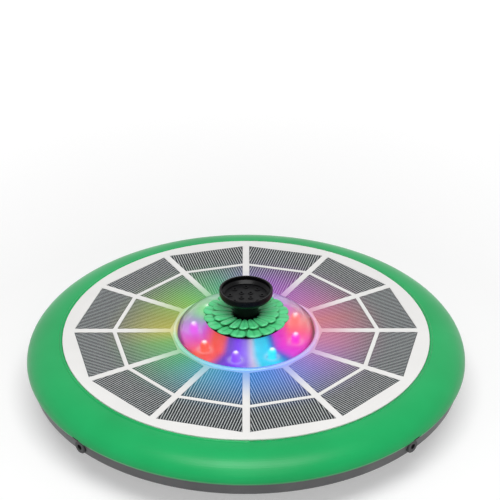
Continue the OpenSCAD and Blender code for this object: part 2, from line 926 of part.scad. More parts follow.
// A broad round petal of the lower layer, with a low crown, cut to its own sector of the ring
module lower_petal() {
    crown_r = (pow(lower_petal_r, 2) + pow(lower_petal_rise, 2)) / (2 * lower_petal_rise);
    crown_a = asin(lower_petal_r / crown_r);
    side = flower_r * tan(180 / lower_petal_count);
    intersection() {
        translate([flower_r - lower_petal_r, 0, seat_top_z])
            rotate_extrude()
                polygon(concat(
                    [[0, 0], [lower_petal_r, 0]],
                    [for (i = [0:4]) let (a = crown_a * (1 - i / 4))
                        [crown_r * sin(a), lower_petal_t + lower_petal_rise - crown_r * (1 - cos(a))]]));
        translate([lower_petal_gap, 0, seat_top_z - over])
            linear_extrude(2 * over + lower_petal_t + lower_petal_rise)
                polygon([[0, 0], [flower_r, -side], [flower_r, side]]);
    }
}

module flower_collar() {
    color([0.25, 0.75, 0.48])
        difference() {
            union() {
                translate([0, 0, seat_top_z])
                    cylinder(r = upper_petal_r - petal_tip_r, h = flower_disc_t);
                around(lower_petal_count, 0, 180 / lower_petal_count)
                    lower_petal();
                intersection() {
                    around(upper_petal_count)
                        upper_petal();
                    translate([0, 0, seat_top_z + petal_sink])
                        cylinder(r = flower_r, h = 2 * petal_tip_r);
                }
            }
            translate([0, 0, seat_top_z - over])
                cylinder(r = flower_hole_r, h = 4 * petal_tip_r);
        }
}

module nozzle_stem() {
    color([0.07, 0.07, 0.07])
        difference() {
            union() {
                translate([0, 0, stem_z])
                    cylinder(r = stem_r, h = shoulder_z - stem_z);
                translate([0, 0, stem_z])
                    cylinder(r = spigot_r, h = stem_top_z - stem_z);
            }
            translate([0, 0, stem_z - over])
                cylinder(r = riser_r + fit, h = stem_step_z - stem_z + over);
            translate([0, 0, stem_z])
                cylinder(r = outlet_r, h = stem_top_z - stem_z + over);
        }
}

module spray_head() {
    neck_z = shoulder_z + neck_gap;
    inner_r = head_r - head_wall;
    color([0.05, 0.05, 0.05])
        difference() {
            rotate_extrude()
                polygon(concat(
                    [[0, neck_z], [neck_r - edge, neck_z], [neck_r, neck_z + edge], [neck_r, bowl_z]],
                    arc(neck_r, bowl_z + bowl_curve_h, head_r - neck_r, bowl_curve_h, -90, 0),
                    [[head_r, rim_z - edge / 2], [head_r - head_wall / 2, rim_z],
                    [inner_r, rim_z - edge / 2], [inner_r, plate_z + 2 * plate_t + plate_seat_w / 2],
                    [plate_r + plate_fit, plate_z + plate_t + edge],
                    [0, plate_z + plate_t + edge]]));
            translate([0, 0, plate_z])
                cylinder(r = plate_r + plate_fit, h = bowl_h);
            translate([0, 0, plenum_z])
                cylinder(r = plate_r - plate_seat_w, h = bowl_h);
            translate([0, 0, neck_z - over])
                cylinder(r = spigot_r + fit, h = bowl_h + plenum_z - neck_z);
        }
}

module spray_plate() {
    color([0.09, 0.09, 0.1])
        difference() {
            union() {
                translate([0, 0, plate_z])
                    cylinder(r = plate_r, h = plate_t);
                outlets(outlet_d, -sink, edge);
            }
            outlets(outlet_d / 2, -plate_t - over, edge + over);
        }
}

// The outlets' round shapes, from one height to another, counted from the top of the plate
module outlets(r, low, high) {
    translate([0, 0, plate_z + plate_t + low]) {
        around(outlet_count, plate_r * outlet_ring_share)
            cylinder(r = r, h = high - low);
        around(centre_outlet_count, plate_r * centre_ring_share, 180 / centre_outlet_count)
            cylinder(r = r, h = high - low);
    }
}

module riser_tube() {
    socket_out = stem_r - seat_fit;
    socket_z = stub_top_z - riser_socket_h;
    color([0.12, 0.12, 0.12])
        difference() {
            union() {
                translate([0, 0, socket_z])
                    cylinder(r = socket_out, h = stub_top_z - socket_z + casing_wall / 2);
                translate([0, 0, socket_z])
                    cylinder(r = riser_r, h = riser_top_z - socket_z);
            }
            translate([0, 0, socket_z - over])
                cylinder(r = riser_r + fit, h = stub_top_z - socket_z + over + seat_fit);
            translate([0, 0, socket_z])
                cylinder(r = outlet_r, h = riser_top_z);
            riser_groove();
        }
}

// The groove for the O-ring near the top of the riser
module riser_groove() {
    ring(riser_r + over, riser_r - edge, groove_z, groove_w);
}

module riser_o_ring() {
    color([0.05, 0.05, 0.05])
        ring(riser_r + fit / 2, riser_r - edge + fit, groove_z + fit, groove_w - 2 * fit);
}

// Pump, on its own axis: right is right, up is up and the front of the pump is up the local Z

module on_pump_axis() {
    translate([pump_x, 0, pump_z])
        rotate([90, 0, 0])
            children();
}

function volute_r(a) =
    volute_start_r + (volute_end_r - volute_start_r) * (a - volute_a0) / (360 - volute_a0);

// The volute's outline, grown by a wall: a spiral that opens into the outlet
function volute_outline(grow) = concat(
    [for (i = [0:volute_steps])
        let (a = volute_a0 + (360 - volute_a0) * i / volute_steps)
            (volute_r(a) + grow) * [cos(a), sin(a)]],
    [[volute_end_r + grow, volute_throat + grow]]);

module motor_side(z, r, l) {
    translate([0, 0, z])
        cylinder(r = r, h = l);
}

module pump_body() {
    color([0.16, 0.17, 0.18])
        difference() {
            union() {
                on_pump_axis() {
                    translate([0, 0, -chamber_half - casing_wall])
                        linear_extrude(volute_depth + casing_wall)
                            polygon(volute_outline(casing_wall));
                    motor_side(can_back, can_r, can_l + casing_wall / 2);
                }
                translate([0, 0, pump_z + volute_throat])
                    cylinder(r = riser_r, h = stub_top_z - pump_z - volute_throat);
                translate([pump_screw_xs[0] - screw_plate_w / 2, screw_plate_y, roof_z - screw_plate_t])
                    cube([screw_span + screw_plate_w, screw_plate_w, screw_plate_t]);
            }
            on_pump_axis() {
                translate([0, 0, -chamber_half])
                    linear_extrude(volute_depth + over)
                        polygon(volute_outline(0));
                motor_side(cup_end, cup_r, cup_l + over);
                motor_side(cup_end - shaft_sink, shaft_r + fit, cup_l);
                difference() {
                    motor_side(can_back - over, can_r - casing_wall, can_l - casing_wall + over);
                    motor_side(can_back - 2 * over, cup_r + cup_wall, can_l + 2 * over);
                }
                motor_side(can_back - over, cup_r + 2 * cup_wall, over + cap_t);
            }
            translate([0, 0, pump_z + volute_throat / 2])
                cylinder(r = outlet_r, h = stub_top_z);
            for (x = pump_screw_xs)
                translate([x, pump_screw_y, roof_z - screw_plate_t - over])
                    cylinder(r = pump_shank_r + seat_fit, h = screw_plate_t + 2 * over);
        }
}

module volute_cover() {
    color([0.2, 0.21, 0.22])
        on_pump_axis()
            difference() {
                translate([0, 0, chamber_half])
                    linear_extrude(cover_t) {
                        difference() {
                            polygon(volute_outline(casing_wall));
                            circle(r = eye_r);
                        }
                        circle(r = spider_r);
                        for (i = [0:spider_arms - 1])
                            rotate(90 + 360 * i / spider_arms)
                                translate([0, -spider_w / 2])
                                    square([eye_r + sink, spider_w]);
                    }
                motor_side(chamber_half - over, shaft_r + fit, over + cover_t - casing_wall / 2);
            }
}

// One backward-curved vane: a strip that sweeps round as it goes out
module vane() {
    function side(s) = [
        for (i = [0:vane_steps])
            let (t = i / vane_steps, r = hub_r * 0.8 + (impeller_r - hub_r * 0.8) * t, a = -vane_sweep * t)
                [r * cos(a) - s * vane_t / 2 * sin(a), r * sin(a) + s * vane_t / 2 * cos(a)]
    ];
    right = side(-1);
    left = side(1);
    linear_extrude(vane_h)
        polygon(concat(right, [for (i = [0:vane_steps]) left[vane_steps - i]]));
}

module impeller() {
    color([0.85, 0.86, 0.88])
        on_pump_axis()
            difference() {
                union() {
                    motor_side(impeller_back, impeller_r, impeller_disc_t);
                    motor_side(impeller_back, hub_r, impeller_disc_t + vane_h);
                    motor_side(sleeve_start, sleeve_r, impeller_back - sleeve_start + sink);
                    intersection() {
                        around(vane_count)
                            translate([0, 0, impeller_back + impeller_disc_t / 2])
                                vane();
                        motor_side(impeller_back, impeller_r, 2 * vane_h);
                    }
                }
                motor_side(impeller_back - magnet_l - 2 * over, shaft_r + fit, magnet_l + 4 * vane_h);
            }
}

module rotor_magnet() {
    color([0.25, 0.25, 0.27])
        on_pump_axis()
            translate([0, 0, impeller_back - magnet_gap - magnet_l])
                difference() {
                    cylinder(r = magnet_d / 2, h = magnet_l);
                    translate([0, 0, -over])
                        cylinder(r = sleeve_r + fit, h = magnet_l + 2 * over);
                }
}

module pump_shaft() {
    color([0.95, 0.95, 0.93])
        on_pump_axis()
            motor_side(shaft_start, shaft_r, shaft_end - shaft_start);
}

module shaft_bushes() {
    color([0.9, 0.9, 0.85])
        on_pump_axis()
            difference() {
                motor_side(cup_end, bush_r, bush_l);
                motor_side(cup_end - over, shaft_r + fit / 2, bush_l + 2 * over);
            }
}

module stator() {
    inner = cup_r + cup_wall + seat_fit;
    outer = can_r - casing_wall - seat_fit;
    color([0.6, 0.35, 0.2])
        on_pump_axis()
            translate([0, 0, can_back + cap_t + stator_lift]) {
                ring(outer, inner, 0, stator_l - stator_lift);
                around(coil_count, (outer + inner) / 2)
                    cylinder(r = (outer - inner) / 2 - fit, h = stator_l);
            }
}

module motor_cap() {
    color([0.14, 0.15, 0.16])
        on_pump_axis()
            motor_side(can_back, can_r - casing_wall - fit, cap_t - fit);
}

module pump_screws() {
    color([0.75, 0.75, 0.73])
        for (x = pump_screw_xs)
            translate([x, pump_screw_y, roof_z - screw_plate_t])
                screw(pump_head_r, pump_head_h, pump_shank_r, pump_shank_l);
}

// Strainer

module strainer_cover() {
    color([0.13, 0.14, 0.15])
        difference() {
            union() {
                translate([0, 0, strainer_z])
                    cylinder(r = strainer_r, h = strainer_t);
                ring(strainer_r, strainer_r - strainer_wall, strainer_z, strainer_h);
                for (i = [0:tab_count - 1])
                    rotate([0, 0, 360 * i / tab_count - tab_angle / 2])
                        rotate_extrude(angle = tab_angle)
                            translate([strainer_r - strainer_wall / 2, tab_z])
                                square([tab_r - strainer_r + strainer_wall / 2, tab_h]);
                translate([-grip_l / 2, -grip_w / 2, strainer_z - grip_h])
                    cube([grip_l, grip_w, grip_h + over]);
            }
            around(slot_count, slot_in_r, 180 / slot_count)
                translate([0, -slot_w / 2, strainer_z - over])
                    cube([slot_out_r - slot_in_r, slot_w, strainer_t + 2 * over]);
        }
}

module filter_sponge() {
    color([0.15, 0.15, 0.16])
        translate([0, 0, strainer_z + strainer_t])
            cylinder(r = sponge_r, h = sponge_h);
}

// Power

module battery_cells() {
    color([0.15, 0.35, 0.7])
        for (x = [-1, 1])
            translate([x * battery_x, -battery_l / 2, battery_z])
                rotate([-90, 0, 0]) {
                    cylinder(r = battery_r, h = battery_l);
                    translate([0, 0, battery_l - sink])
                        cylinder(r = terminal_r, h = terminal_h + sink);
                }
}

module battery_saddles() {
    color([0.85, 0.85, 0.83])
        for (x = [-1, 1], y = [-1, 1])
            difference() {
                translate([x * battery_x - saddle_w / 2, y * saddle_y - saddle_l / 2, pan_floor_z])
                    cube([saddle_w, saddle_l, saddle_h]);
                translate([x * battery_x, -battery_l, battery_z])
                    rotate([-90, 0, 0])
                        cylinder(r = battery_r + fit, h = 2 * battery_l);
            }
}

module control_board() {
    color([0.1, 0.4, 0.2])
        difference() {
            union() {
                translate([-board_l / 2, board_y - board_w / 2, board_z])
                    cube([board_l, board_w, board_t]);
                for (p = connector_places)
                    translate([p[0] - connector[0] / 2, p[1] - connector[1] / 2, board_z + board_t / 2])
                        cube(connector + [0, 0, board_t / 2]);
                translate([board_l * chip_place_share, board_y, board_z + board_t / 2])
                    cube([chip_w, chip_w, board_t]);
                translate([-2 * connector[0], board_y, board_z + board_t / 2])
                    cylinder(r = connector[1] / 2, h = connector[0]);
            }
            for (x = [-1, 1], y = [-1, 1])
                translate([x * board_hole_x, board_y + y * board_hole_y, board_z - over])
                    cylinder(r = board_pilot_r + seat_fit, h = board_t + 2 * over);
        }
}

module board_screws() {
    color([0.75, 0.75, 0.73])
        for (x = [-1, 1], y = [-1, 1])
            translate([x * board_hole_x, board_y + y * board_hole_y, board_z + board_t])
                rotate([180, 0, 0])
                    screw(board_head_r, board_head_h, board_pilot_r, board_shank_l);
}

module button_switch() {
    color([0.2, 0.2, 0.22])
        translate([0, button_y, board_z - switch_h]) {
            translate([-switch_w / 2, -switch_w / 2, 0])
                cube([switch_w, switch_w, switch_h]);
            translate([0, 0, -plunger_h])
                cylinder(r = plunger_r, h = plunger_h + over);
        }
}

module power_button() {
    flange_z = pan_floor_z + button_seal_t;
    color([0.18, 0.62, 0.38])
        translate([0, button_y, 0]) {
            translate([0, 0, pan_z - button_proud])
                cylinder(r1 = button_r - edge, r2 = button_r, h = edge);
            translate([0, 0, pan_z - button_proud + edge])
                cylinder(r = button_r, h = flange_z - pan_z + button_proud - edge);
            translate([0, 0, flange_z])
                cylinder(r = button_r + button_flange_w, h = button_flange_h);
            translate([0, 0, flange_z])
                cylinder(r = button_stem_r, h = button_top_z - flange_z);
        }
}

module button_seal() {
    color([0.1, 0.1, 0.1])
        translate([0, button_y, 0])
            ring(button_r + button_flange_w, button_r + gap, pan_floor_z, button_seal_t);
}

module lead_grommet() {
    color([0.1, 0.1, 0.1])
        translate([pump_x, well_r + well_wall - over, lead_z])
            rotate([-90, 0, 0])
                difference() {
                    union() {
                        cylinder(r = lead_r + grommet_wall - fit, h = over);
                        translate([0, 0, over + gap])
                            cylinder(r = lead_r + grommet_wall + grommet_flange, h = grommet_flange);
                        cylinder(r = lead_r + grommet_wall - fit, h = grommet_l);
                    }
                    translate([0, 0, -over])
                        cylinder(r = lead_r + fit, h = grommet_l + 2 * over);
                }
}

// Where each lead meets the control board: pump, lamps, panel and the two battery cells
connector_y = board_y - board_w / 2 + 1.6 * connector[1];
connector_places = [
    [pump_x, connector_y], [0, connector_y + 1.6 * connector[1]], [-pump_x, connector_y],
    [2.2 * pump_x, connector_y], [-2.2 * pump_x, connector_y]
];
connector_z = board_z + board_t + connector[2];

module wiring() {
    color([0.75, 0.1, 0.1]) {
        lead([
            [pump_x, -can_back, lead_z], [pump_x, connector_y, lead_z],
            [pump_x, connector_y, connector_z]], lead_r);
        lead([
            [0, led_board_r + fit, thin_wire_z],
            [0, connector_places[1][1], thin_wire_z],
            [0, connector_places[1][1], connector_z]], thin_wire_r);
        lead([[-pump_x, connector_y, panel_z], [-pump_x, connector_y, connector_z]], wire_r);
        for (x = [-1, 1])
            lead([
                [x * battery_x, battery_l / 2 + terminal_h + gap, battery_z],
                [x * battery_x, connector_y - board_w / 4, battery_z + connector[2]],
                [-x * 2.2 * pump_x, connector_y, battery_z + connector[2] + wire_r],
                [-x * 2.2 * pump_x, connector_y, connector_z]], wire_r);
    }
}

base_pan();
float_ring();
foam_float();
rod_sockets();
rubber_feet();
case_screws();
panel_board();
inner_cells();
outer_cells();
panel_gasket();
light_collar();
led_dome();
dome_seal();
led_board();
leds();
reflector();
nozzle_seat();
flower_collar();
nozzle_stem();
spray_head();
spray_plate();
riser_tube();
riser_o_ring();
pump_body();
volute_cover();
impeller();
rotor_magnet();
pump_shaft();
shaft_bushes();
stator();
motor_cap();
pump_screws();
strainer_cover();
filter_sponge();
battery_cells();
battery_saddles();
control_board();
board_screws();
button_switch();
power_button();
button_seal();
lead_grommet();
wiring();
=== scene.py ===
# %% [markdown]
# # Dressing a solar fountain pump
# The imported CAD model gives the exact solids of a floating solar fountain: a dark pan, a green float ring, a round
# solar panel, a lamp dome, a petal flower and a bowl-shaped spray head. This notebook gives each of them the finish
# of the real thing, adds the fine parts that CAD leaves out, and sets up the studio.

# %% Load the frame
import math

import bmesh
import bpy
from mathutils import Matrix, Vector, noise


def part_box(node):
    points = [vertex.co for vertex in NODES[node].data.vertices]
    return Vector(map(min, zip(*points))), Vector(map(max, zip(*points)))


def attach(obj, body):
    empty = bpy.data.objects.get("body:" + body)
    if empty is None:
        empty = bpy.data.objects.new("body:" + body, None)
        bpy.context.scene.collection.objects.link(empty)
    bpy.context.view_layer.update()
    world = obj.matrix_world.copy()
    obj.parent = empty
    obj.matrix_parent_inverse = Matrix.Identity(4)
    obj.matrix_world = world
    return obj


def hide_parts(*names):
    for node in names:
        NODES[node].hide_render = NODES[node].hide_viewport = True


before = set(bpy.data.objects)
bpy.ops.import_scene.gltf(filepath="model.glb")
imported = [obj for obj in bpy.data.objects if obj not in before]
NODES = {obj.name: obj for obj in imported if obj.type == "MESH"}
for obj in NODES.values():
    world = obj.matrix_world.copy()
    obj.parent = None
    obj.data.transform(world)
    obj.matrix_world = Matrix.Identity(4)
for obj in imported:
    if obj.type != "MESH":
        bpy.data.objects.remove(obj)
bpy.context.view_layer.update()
MM = 0.001

# %% [markdown]
# ## Camera
# The camera comes first, since everything is judged through it. It looks down by just under 30 degrees at a float
# a quarter of a metre wide, through a long lens, so the far edge is hardly smaller than the near one. A camera can
# be moved about by eye until the picture fits. Here its place and its lens were worked out from the ellipse of the
# panel instead, because the panel is a true circle on the object.

# %% The camera
CAMERA_PLACE = Vector((0, -792.0, 546.2)) * MM
CAMERA_PITCH = 29.573  # degrees down from level
CAMERA_TURN = 0.168    # degrees to the right
CAMERA_LENS = 113.77   # focal length, in millimetres
SENSOR_WIDTH = 36
camera_data = bpy.data.cameras.new("camera")
camera_data.lens = CAMERA_LENS
camera_data.sensor_width = SENSOR_WIDTH
camera = bpy.data.objects.new("camera", camera_data)
camera.location = CAMERA_PLACE
camera.rotation_euler = (math.radians(90 - CAMERA_PITCH), 0, -math.radians(CAMERA_TURN))
bpy.context.scene.collection.objects.link(camera)
bpy.context.scene.camera = camera
bpy.context.scene.view_settings.view_transform = "Standard"
print("camera stands", round(camera.location.length, 3), "m from the object's centre")


# %% [markdown]
# ## Small helpers for materials
# Each material is a tree of shader nodes. Such a tree can be drawn by hand in the shader editor, but then it can't be
# read or repeated as text. Built in code, it means adding nodes and joining sockets again and again, so short helpers
# do that. A colour is written as the 0 to 255 values one would pick from a picture, and turned into the linear values
# that Blender mixes.

# %% Colours
def linear(r, g, b):
    """A picked colour, 0 to 255, as the linear values a shader works with."""
    def one(v):
        v = v / 255
        return v / 12.92 if v <= 0.04045 else ((v + 0.055) / 1.055) ** 2.4
    return (one(r), one(g), one(b), 1)


BLACK, WHITE = (0, 0, 0, 1), (1, 1, 1, 1)
print("a picked 128 is", round(linear(128, 128, 128)[0], 3), "in linear values")


# %% Adding and joining nodes
def give(tree, sockets, values):
    """Gives each socket, by its name or number, a plain value or what another node puts out."""
    for key, value in dict(values).items():
        if isinstance(value, bpy.types.NodeSocket):
            tree.links.new(value, sockets[key])
        else:
            sockets[key].default_value = value


def add(tree, kind, inputs=(), **settings):
    """Adds a shader node, sets its properties, and gives it its inputs."""
    made = tree.nodes.new("ShaderNode" + kind)
    for name, value in settings.items():
        setattr(made, name, value)
    give(tree, made.inputs, inputs)
    return made


# %% Nodes that come back in many finishes
NOISE_SPREAD = (0.3, 0.7)  # most values of a noise texture lie between these


def math_node(tree, operation, *values):
    return add(tree, "Math", dict(enumerate(values)), operation=operation).outputs[0]


def blend_node(tree, kind, amount, a, b):
    return add(tree, "Mix", {0: amount, 6: a, 7: b}, data_type="RGBA", blend_type=kind).outputs[2]


def map_node(tree, value, source, target, interpolation="LINEAR"):
    """Maps one range of values, given as (low, high), onto another, and stops at its ends."""
    ranges = dict(enumerate((*source, *target), 1))
    return add(tree, "MapRange", {0: value, **ranges}, interpolation_type=interpolation).outputs[0]


def noise_node(tree, where, scale, detail):
    return add(tree, "TexNoise", {"Vector": where, "Scale": scale, "Detail": detail}).outputs["Fac"]


def bump_node(tree, height, strength, distance):
    return add(tree, "Bump", {"Height": height, "Strength": strength, "Distance": distance}).outputs[0]


def length_node(tree, vector):
    return add(tree, "VectorMath", {0: vector}, operation="LENGTH").outputs["Value"]


def ramp_node(tree, value, stops):
    """A colour ramp, with its stops given as (place, colour)."""
    made = add(tree, "ValToRGB", {0: value})
    elements = made.color_ramp.elements
    while len(elements) < len(stops):
        elements.new(0.5)
    for element, (place, colour) in zip(elements, stops):
        element.position = place
        element.color = colour
    return made.outputs[0]


# %% [markdown]
# ## Effects that many finishes share
# An effect that several materials need could be copied into each of them. A node group is better: it is built once,
# and each material gives it its own values. All the groups for finishes put out the same three things, a colour, a
# roughness and a height, so every finish can be joined up in the same way.

# %% Making and placing a group
FINISH_OUTPUTS = [("Colour", "Color"), ("Roughness", "Float"), ("Height", "Float")]


def new_group(name, inputs, outputs):
    """A shader node group with named inputs, given as (name, kind, default), and named outputs."""
    tree = bpy.data.node_groups.new(name, "ShaderNodeTree")
    for label, kind, default in inputs:
        socket = tree.interface.new_socket(label, in_out="INPUT", socket_type="NodeSocket" + kind)
        if default is not None:
            socket.default_value = default
    for label, kind in outputs:
        tree.interface.new_socket(label, in_out="OUTPUT", socket_type="NodeSocket" + kind)
    return tree, tree.nodes.new("NodeGroupInput").outputs, tree.nodes.new("NodeGroupOutput").inputs


def use_group(tree, group, inputs):
    return add(tree, "Group", inputs, node_tree=group).outputs


# %% [markdown]
# Moulded plastic is never one flat colour. The melt flows unevenly, so there is a faint cloudiness a centimetre or
# two across, and the tool leaves a fine texture that breaks up the shine. The group below makes both from noise, and
# each plastic then only says how strong it wants them.

# %% Moulded plastic as a node group
MOULDED, g_in, g_out = new_group(
    "moulded_plastic",
    [("Vector", "Vector", None), ("Colour", "Color", (0.5, 0.5, 0.5, 1)), ("Shade", "Color", (0.3, 0.3, 0.3, 1)),
     ("Cloud Scale", "Float", 40.0), ("Grain Scale", "Float", 2200.0), ("Smoothest", "Float", 0.3),
     ("Roughest", "Float", 0.45)],
    FINISH_OUTPUTS)
cloud = noise_node(MOULDED, g_in["Vector"], g_in["Cloud Scale"], 3.0)
cloudy = map_node(MOULDED, cloud, (0.35, 0.7), (0.0, 1.0))
give(MOULDED, g_out, {
    "Colour": blend_node(MOULDED, "MIX", cloudy, g_in["Colour"], g_in["Shade"]),
    "Roughness": map_node(MOULDED, cloud, NOISE_SPREAD, (g_in["Smoothest"], g_in["Roughest"])),
    "Height": noise_node(MOULDED, g_in["Vector"], g_in["Grain Scale"], 2.0)})
print("group", MOULDED.name, "has", len(MOULDED.nodes), "nodes")

# %% [markdown]
# ## From a group to a finish
# Most finishes put one Principled BSDF behind a group like this one. The values that are the same all over the
# surface, such as the coat or the index of refraction, are set on the shader itself, because an export keeps them
# only there.

# %% Starting a material and joining a group to it
RELIEF_DEPTH = 0.0002  # metres, for the grain that a group gives


def start_material(name):
    """A new node material with its shader, and the place on the piece that its patterns are drawn from."""
    material = bpy.data.materials.new(name)
    material.use_nodes = True
    tree = material.node_tree
    shader = next(n for n in tree.nodes if n.type == "BSDF_PRINCIPLED")
    where = add(tree, "TexCoord").outputs["Object"]
    return material, tree, shader, where


def surface(tree, shader, group, bump, **plain_values):
    """Joins a group's colour, roughness and height to the shader, and sets the shader's plain values."""
    give(tree, shader.inputs, {
        "Base Color": group["Colour"], "Roughness": group["Roughness"],
        "Normal": bump_node(tree, group["Height"], bump, RELIEF_DEPTH)})
    give(tree, shader.inputs, {key.replace("_", " "): value for key, value in plain_values.items()})


# %% Plastic, and dressing a part in it
def moulded(tree, where, colour, shade, smooth, rough, cloud, grain):
    """The moulded group with one plastic's own values. Its shade is the colour in the clouds."""
    return use_group(tree, MOULDED, {
        "Vector": where, "Colour": linear(*colour), "Shade": linear(*shade), "Cloud Scale": cloud,
        "Grain Scale": grain, "Smoothest": smooth, "Roughest": rough})


def plastic(name, colour, shade, smooth, rough, cloud, grain, bump, **plain_values):
    material, tree, shader, where = start_material(name)
    surface(tree, shader, moulded(tree, where, colour, shade, smooth, rough, cloud, grain), bump, **plain_values)
    return material


def dress(material, *names):
    """Gives CAD nodes a material in place of the one they were packed with."""
    for name in names:
        mesh = NODES[name].data
        mesh.materials.clear()
        mesh.materials.append(material)
    print(material.name, "is on", *names)


# %% [markdown]
# ## The housing
# The float ring is a soft, bright leaf green plastic with a low gloss. Its shape is exact in CAD, so it only needs
# its finish: wide faint clouds, a fine grain, and little mirroring, so that its colour stays deep.

# %% Green ring
dress(plastic("ring_green", (22, 174, 97), (17, 162, 88), smooth=0.28, rough=0.36, cloud=22.0, grain=1500.0,
              bump=0.03, Specular_IOR_Level=0.24), "float_ring")

# %% [markdown]
# The pan below the ring is dark grey, with a matte, finely sparked texture. A faint pale film of lime sits low on it,
# as on anything that has been afloat for a while. The film could be a picture laid over the pan. It is worked out
# from the height and some noise instead, so it fits the pan at any size.

# %% Dark pan with a faint lime film
FILM_HEIGHTS = (0.02, 0.006)  # metres: none above the first, most below the second
FILM_MOST = 0.22              # share of lime where the film is thickest
pan_grey, tree, shader, where = start_material("pan_grey")
skin = moulded(tree, where, (82, 82, 84), (74, 74, 76), smooth=0.42, rough=0.58, cloud=35.0, grain=3200.0)
surface(tree, shader, skin, bump=0.25)
height = add(tree, "SeparateXYZ", {0: where}).outputs["Z"]
low_band = map_node(tree, height, FILM_HEIGHTS, (0.0, 1.0))
drift = map_node(tree, noise_node(tree, where, 160.0, 5.0), (0.5, 0.75), (0.0, FILM_MOST))
film = math_node(tree, "MULTIPLY", low_band, drift)
filmed = blend_node(tree, "MIX", film, skin["Colour"], linear(150, 150, 142))
give(tree, shader.inputs, {"Base Color": filmed})
dress(pan_grey, "base_pan")

# %% [markdown]
# The lugs that take the distance rods are a hard black plastic, and the feet and all the seals are a dull rubber.
# Rubber could have a group of its own, but it is moulded too, so the same one does, with a rougher surface.

# %% Lugs, feet and seals
dress(plastic("lug_black", (34, 34, 36), (26, 26, 28), smooth=0.35, rough=0.5, cloud=60.0, grain=3000.0, bump=0.2),
      "rod_sockets")
dress(plastic("rubber_black", (30, 30, 30), (22, 22, 22), smooth=0.6, rough=0.8, cloud=90.0, grain=2600.0, bump=0.4),
      "rubber_feet", "panel_gasket", "dome_seal", "riser_o_ring", "button_seal", "lead_grommet")

# %% [markdown]
# The screws are zinc-plated steel. Turned or rolled metal has fine scratches that run one way, so its noise is
# stretched along one axis, and dull patches lie over it. Plain grey with a low roughness would look like chrome.

# %% Metal grain as a node group
METAL_GRAIN, g_in, g_out = new_group(
    "metal_grain",
    [("Vector", "Vector", None), ("Colour", "Color", (0.6, 0.6, 0.6, 1)), ("Stretch", "Vector", (1, 1, 20)),
     ("Scale", "Float", 900.0), ("Smoothest", "Float", 0.2), ("Roughest", "Float", 0.4)],
    FINISH_OUTPUTS)
DULL_METAL = (0.45, 0.42, 0.38, 1)
stretched = add(METAL_GRAIN, "VectorMath", {0: g_in["Vector"], 1: g_in["Stretch"]}, operation="MULTIPLY").outputs[0]
scratches = noise_node(METAL_GRAIN, stretched, g_in["Scale"], 4.0)
patches = noise_node(METAL_GRAIN, g_in["Vector"], 300.0, 2.0)
dull = map_node(METAL_GRAIN, patches, (0.4, 0.75), (0.0, 0.35))
give(METAL_GRAIN, g_out, {
    "Colour": blend_node(METAL_GRAIN, "MULTIPLY", dull, g_in["Colour"], DULL_METAL),
    "Roughness": map_node(METAL_GRAIN, scratches, NOISE_SPREAD, (g_in["Smoothest"], g_in["Roughest"])),
    "Height": scratches})
print("group", METAL_GRAIN.name, "has", len(METAL_GRAIN.nodes), "nodes")


# %% Screws
def metal(name, colour, smooth, rough, stretch, scale, bump):
    material, tree, shader, where = start_material(name)
    surface(tree, shader, use_group(tree, METAL_GRAIN, {
        "Vector": where, "Colour": linear(*colour), "Stretch": stretch, "Scale": scale,
        "Smoothest": smooth, "Roughest": rough}), bump, Metallic=1.0)
    return material


dress(metal("zinc_plate", (196, 194, 186), smooth=0.2, rough=0.42, stretch=(1, 1, 20), scale=900.0, bump=0.15),
      "case_screws", "pump_screws", "board_screws")


# %% [markdown]
# ## Light from the lamps
# The lamps under the dome throw their colours outwards over the panel: each direction has its own colour, and the
# light fades within about four centimetres. Real coloured lamps in the scene would do this too, but with much noise
# and little control. So the angle round the centre picks a colour from a ramp, and the distance gives the strength.
# One ramp has the colours of the spill. The other has those under the dome, of the nine lamps and of the places
# between them, where the light of neighbours meets.

# %% Colours round the dome, by degrees from the front, anticlockwise seen from above
# Painted shade: the darker stops, at -25 and 39 degrees, are the dark lamp housings seen through the dome.
LAMP_COLOURS = {
    -51: (252, 84, 58), -34: (250, 92, 96), -25: (112, 70, 190), -11: (132, 66, 248), 0: (150, 118, 232),
    7: (206, 196, 226), 14: (70, 212, 242), 29: (40, 214, 246), 39: (52, 96, 206), 47: (222, 50, 214),
    69: (252, 34, 186), 88: (252, 66, 120), 109: (252, 92, 66), 128: (226, 74, 160), 149: (165, 64, 235),
    170: (90, 120, 220), 189: (34, 220, 116), 229: (66, 226, 66), 249: (150, 120, 190), 269: (206, 56, 226)}
SPILL_COLOURS = {
    0: (66, 150, 232), 20: (86, 140, 232), 45: (150, 124, 214), 75: (206, 122, 170), 105: (214, 118, 132),
    135: (190, 108, 178), 165: (166, 84, 204), 180: (130, 120, 190), 197: (70, 176, 132), 225: (120, 196, 80),
    255: (170, 176, 62), 270: (196, 190, 70), -75: (120, 186, 90), -50: (70, 176, 128), -25: (70, 168, 204)}


def ring_stops(colours):
    """The stops of a ramp that goes once round, from the left over the front, with one colour where it closes."""
    stops = sorted((((degrees + 90) / 360) % 1, linear(*colour)) for degrees, colour in colours.items())
    (low, first), (high, last) = stops[0], stops[-1]
    share = (1 - high) / (1 - high + low) if low else 1
    seam = tuple(a + (b - a) * share for a, b in zip(last, first))
    return ([(0.0, seam)] if low > 0 else []) + stops + [(1.0, seam)]


print("stops on the ramps:", len(ring_stops(LAMP_COLOURS)), "and", len(ring_stops(SPILL_COLOURS)))

# %% [markdown]
# The group below puts out both colours, the reach of the spill, and the distance to the nearest lamp. The nine lamps
# stand at equal angles, so the angle is folded into the space of one lamp, and one measure does for all of them.

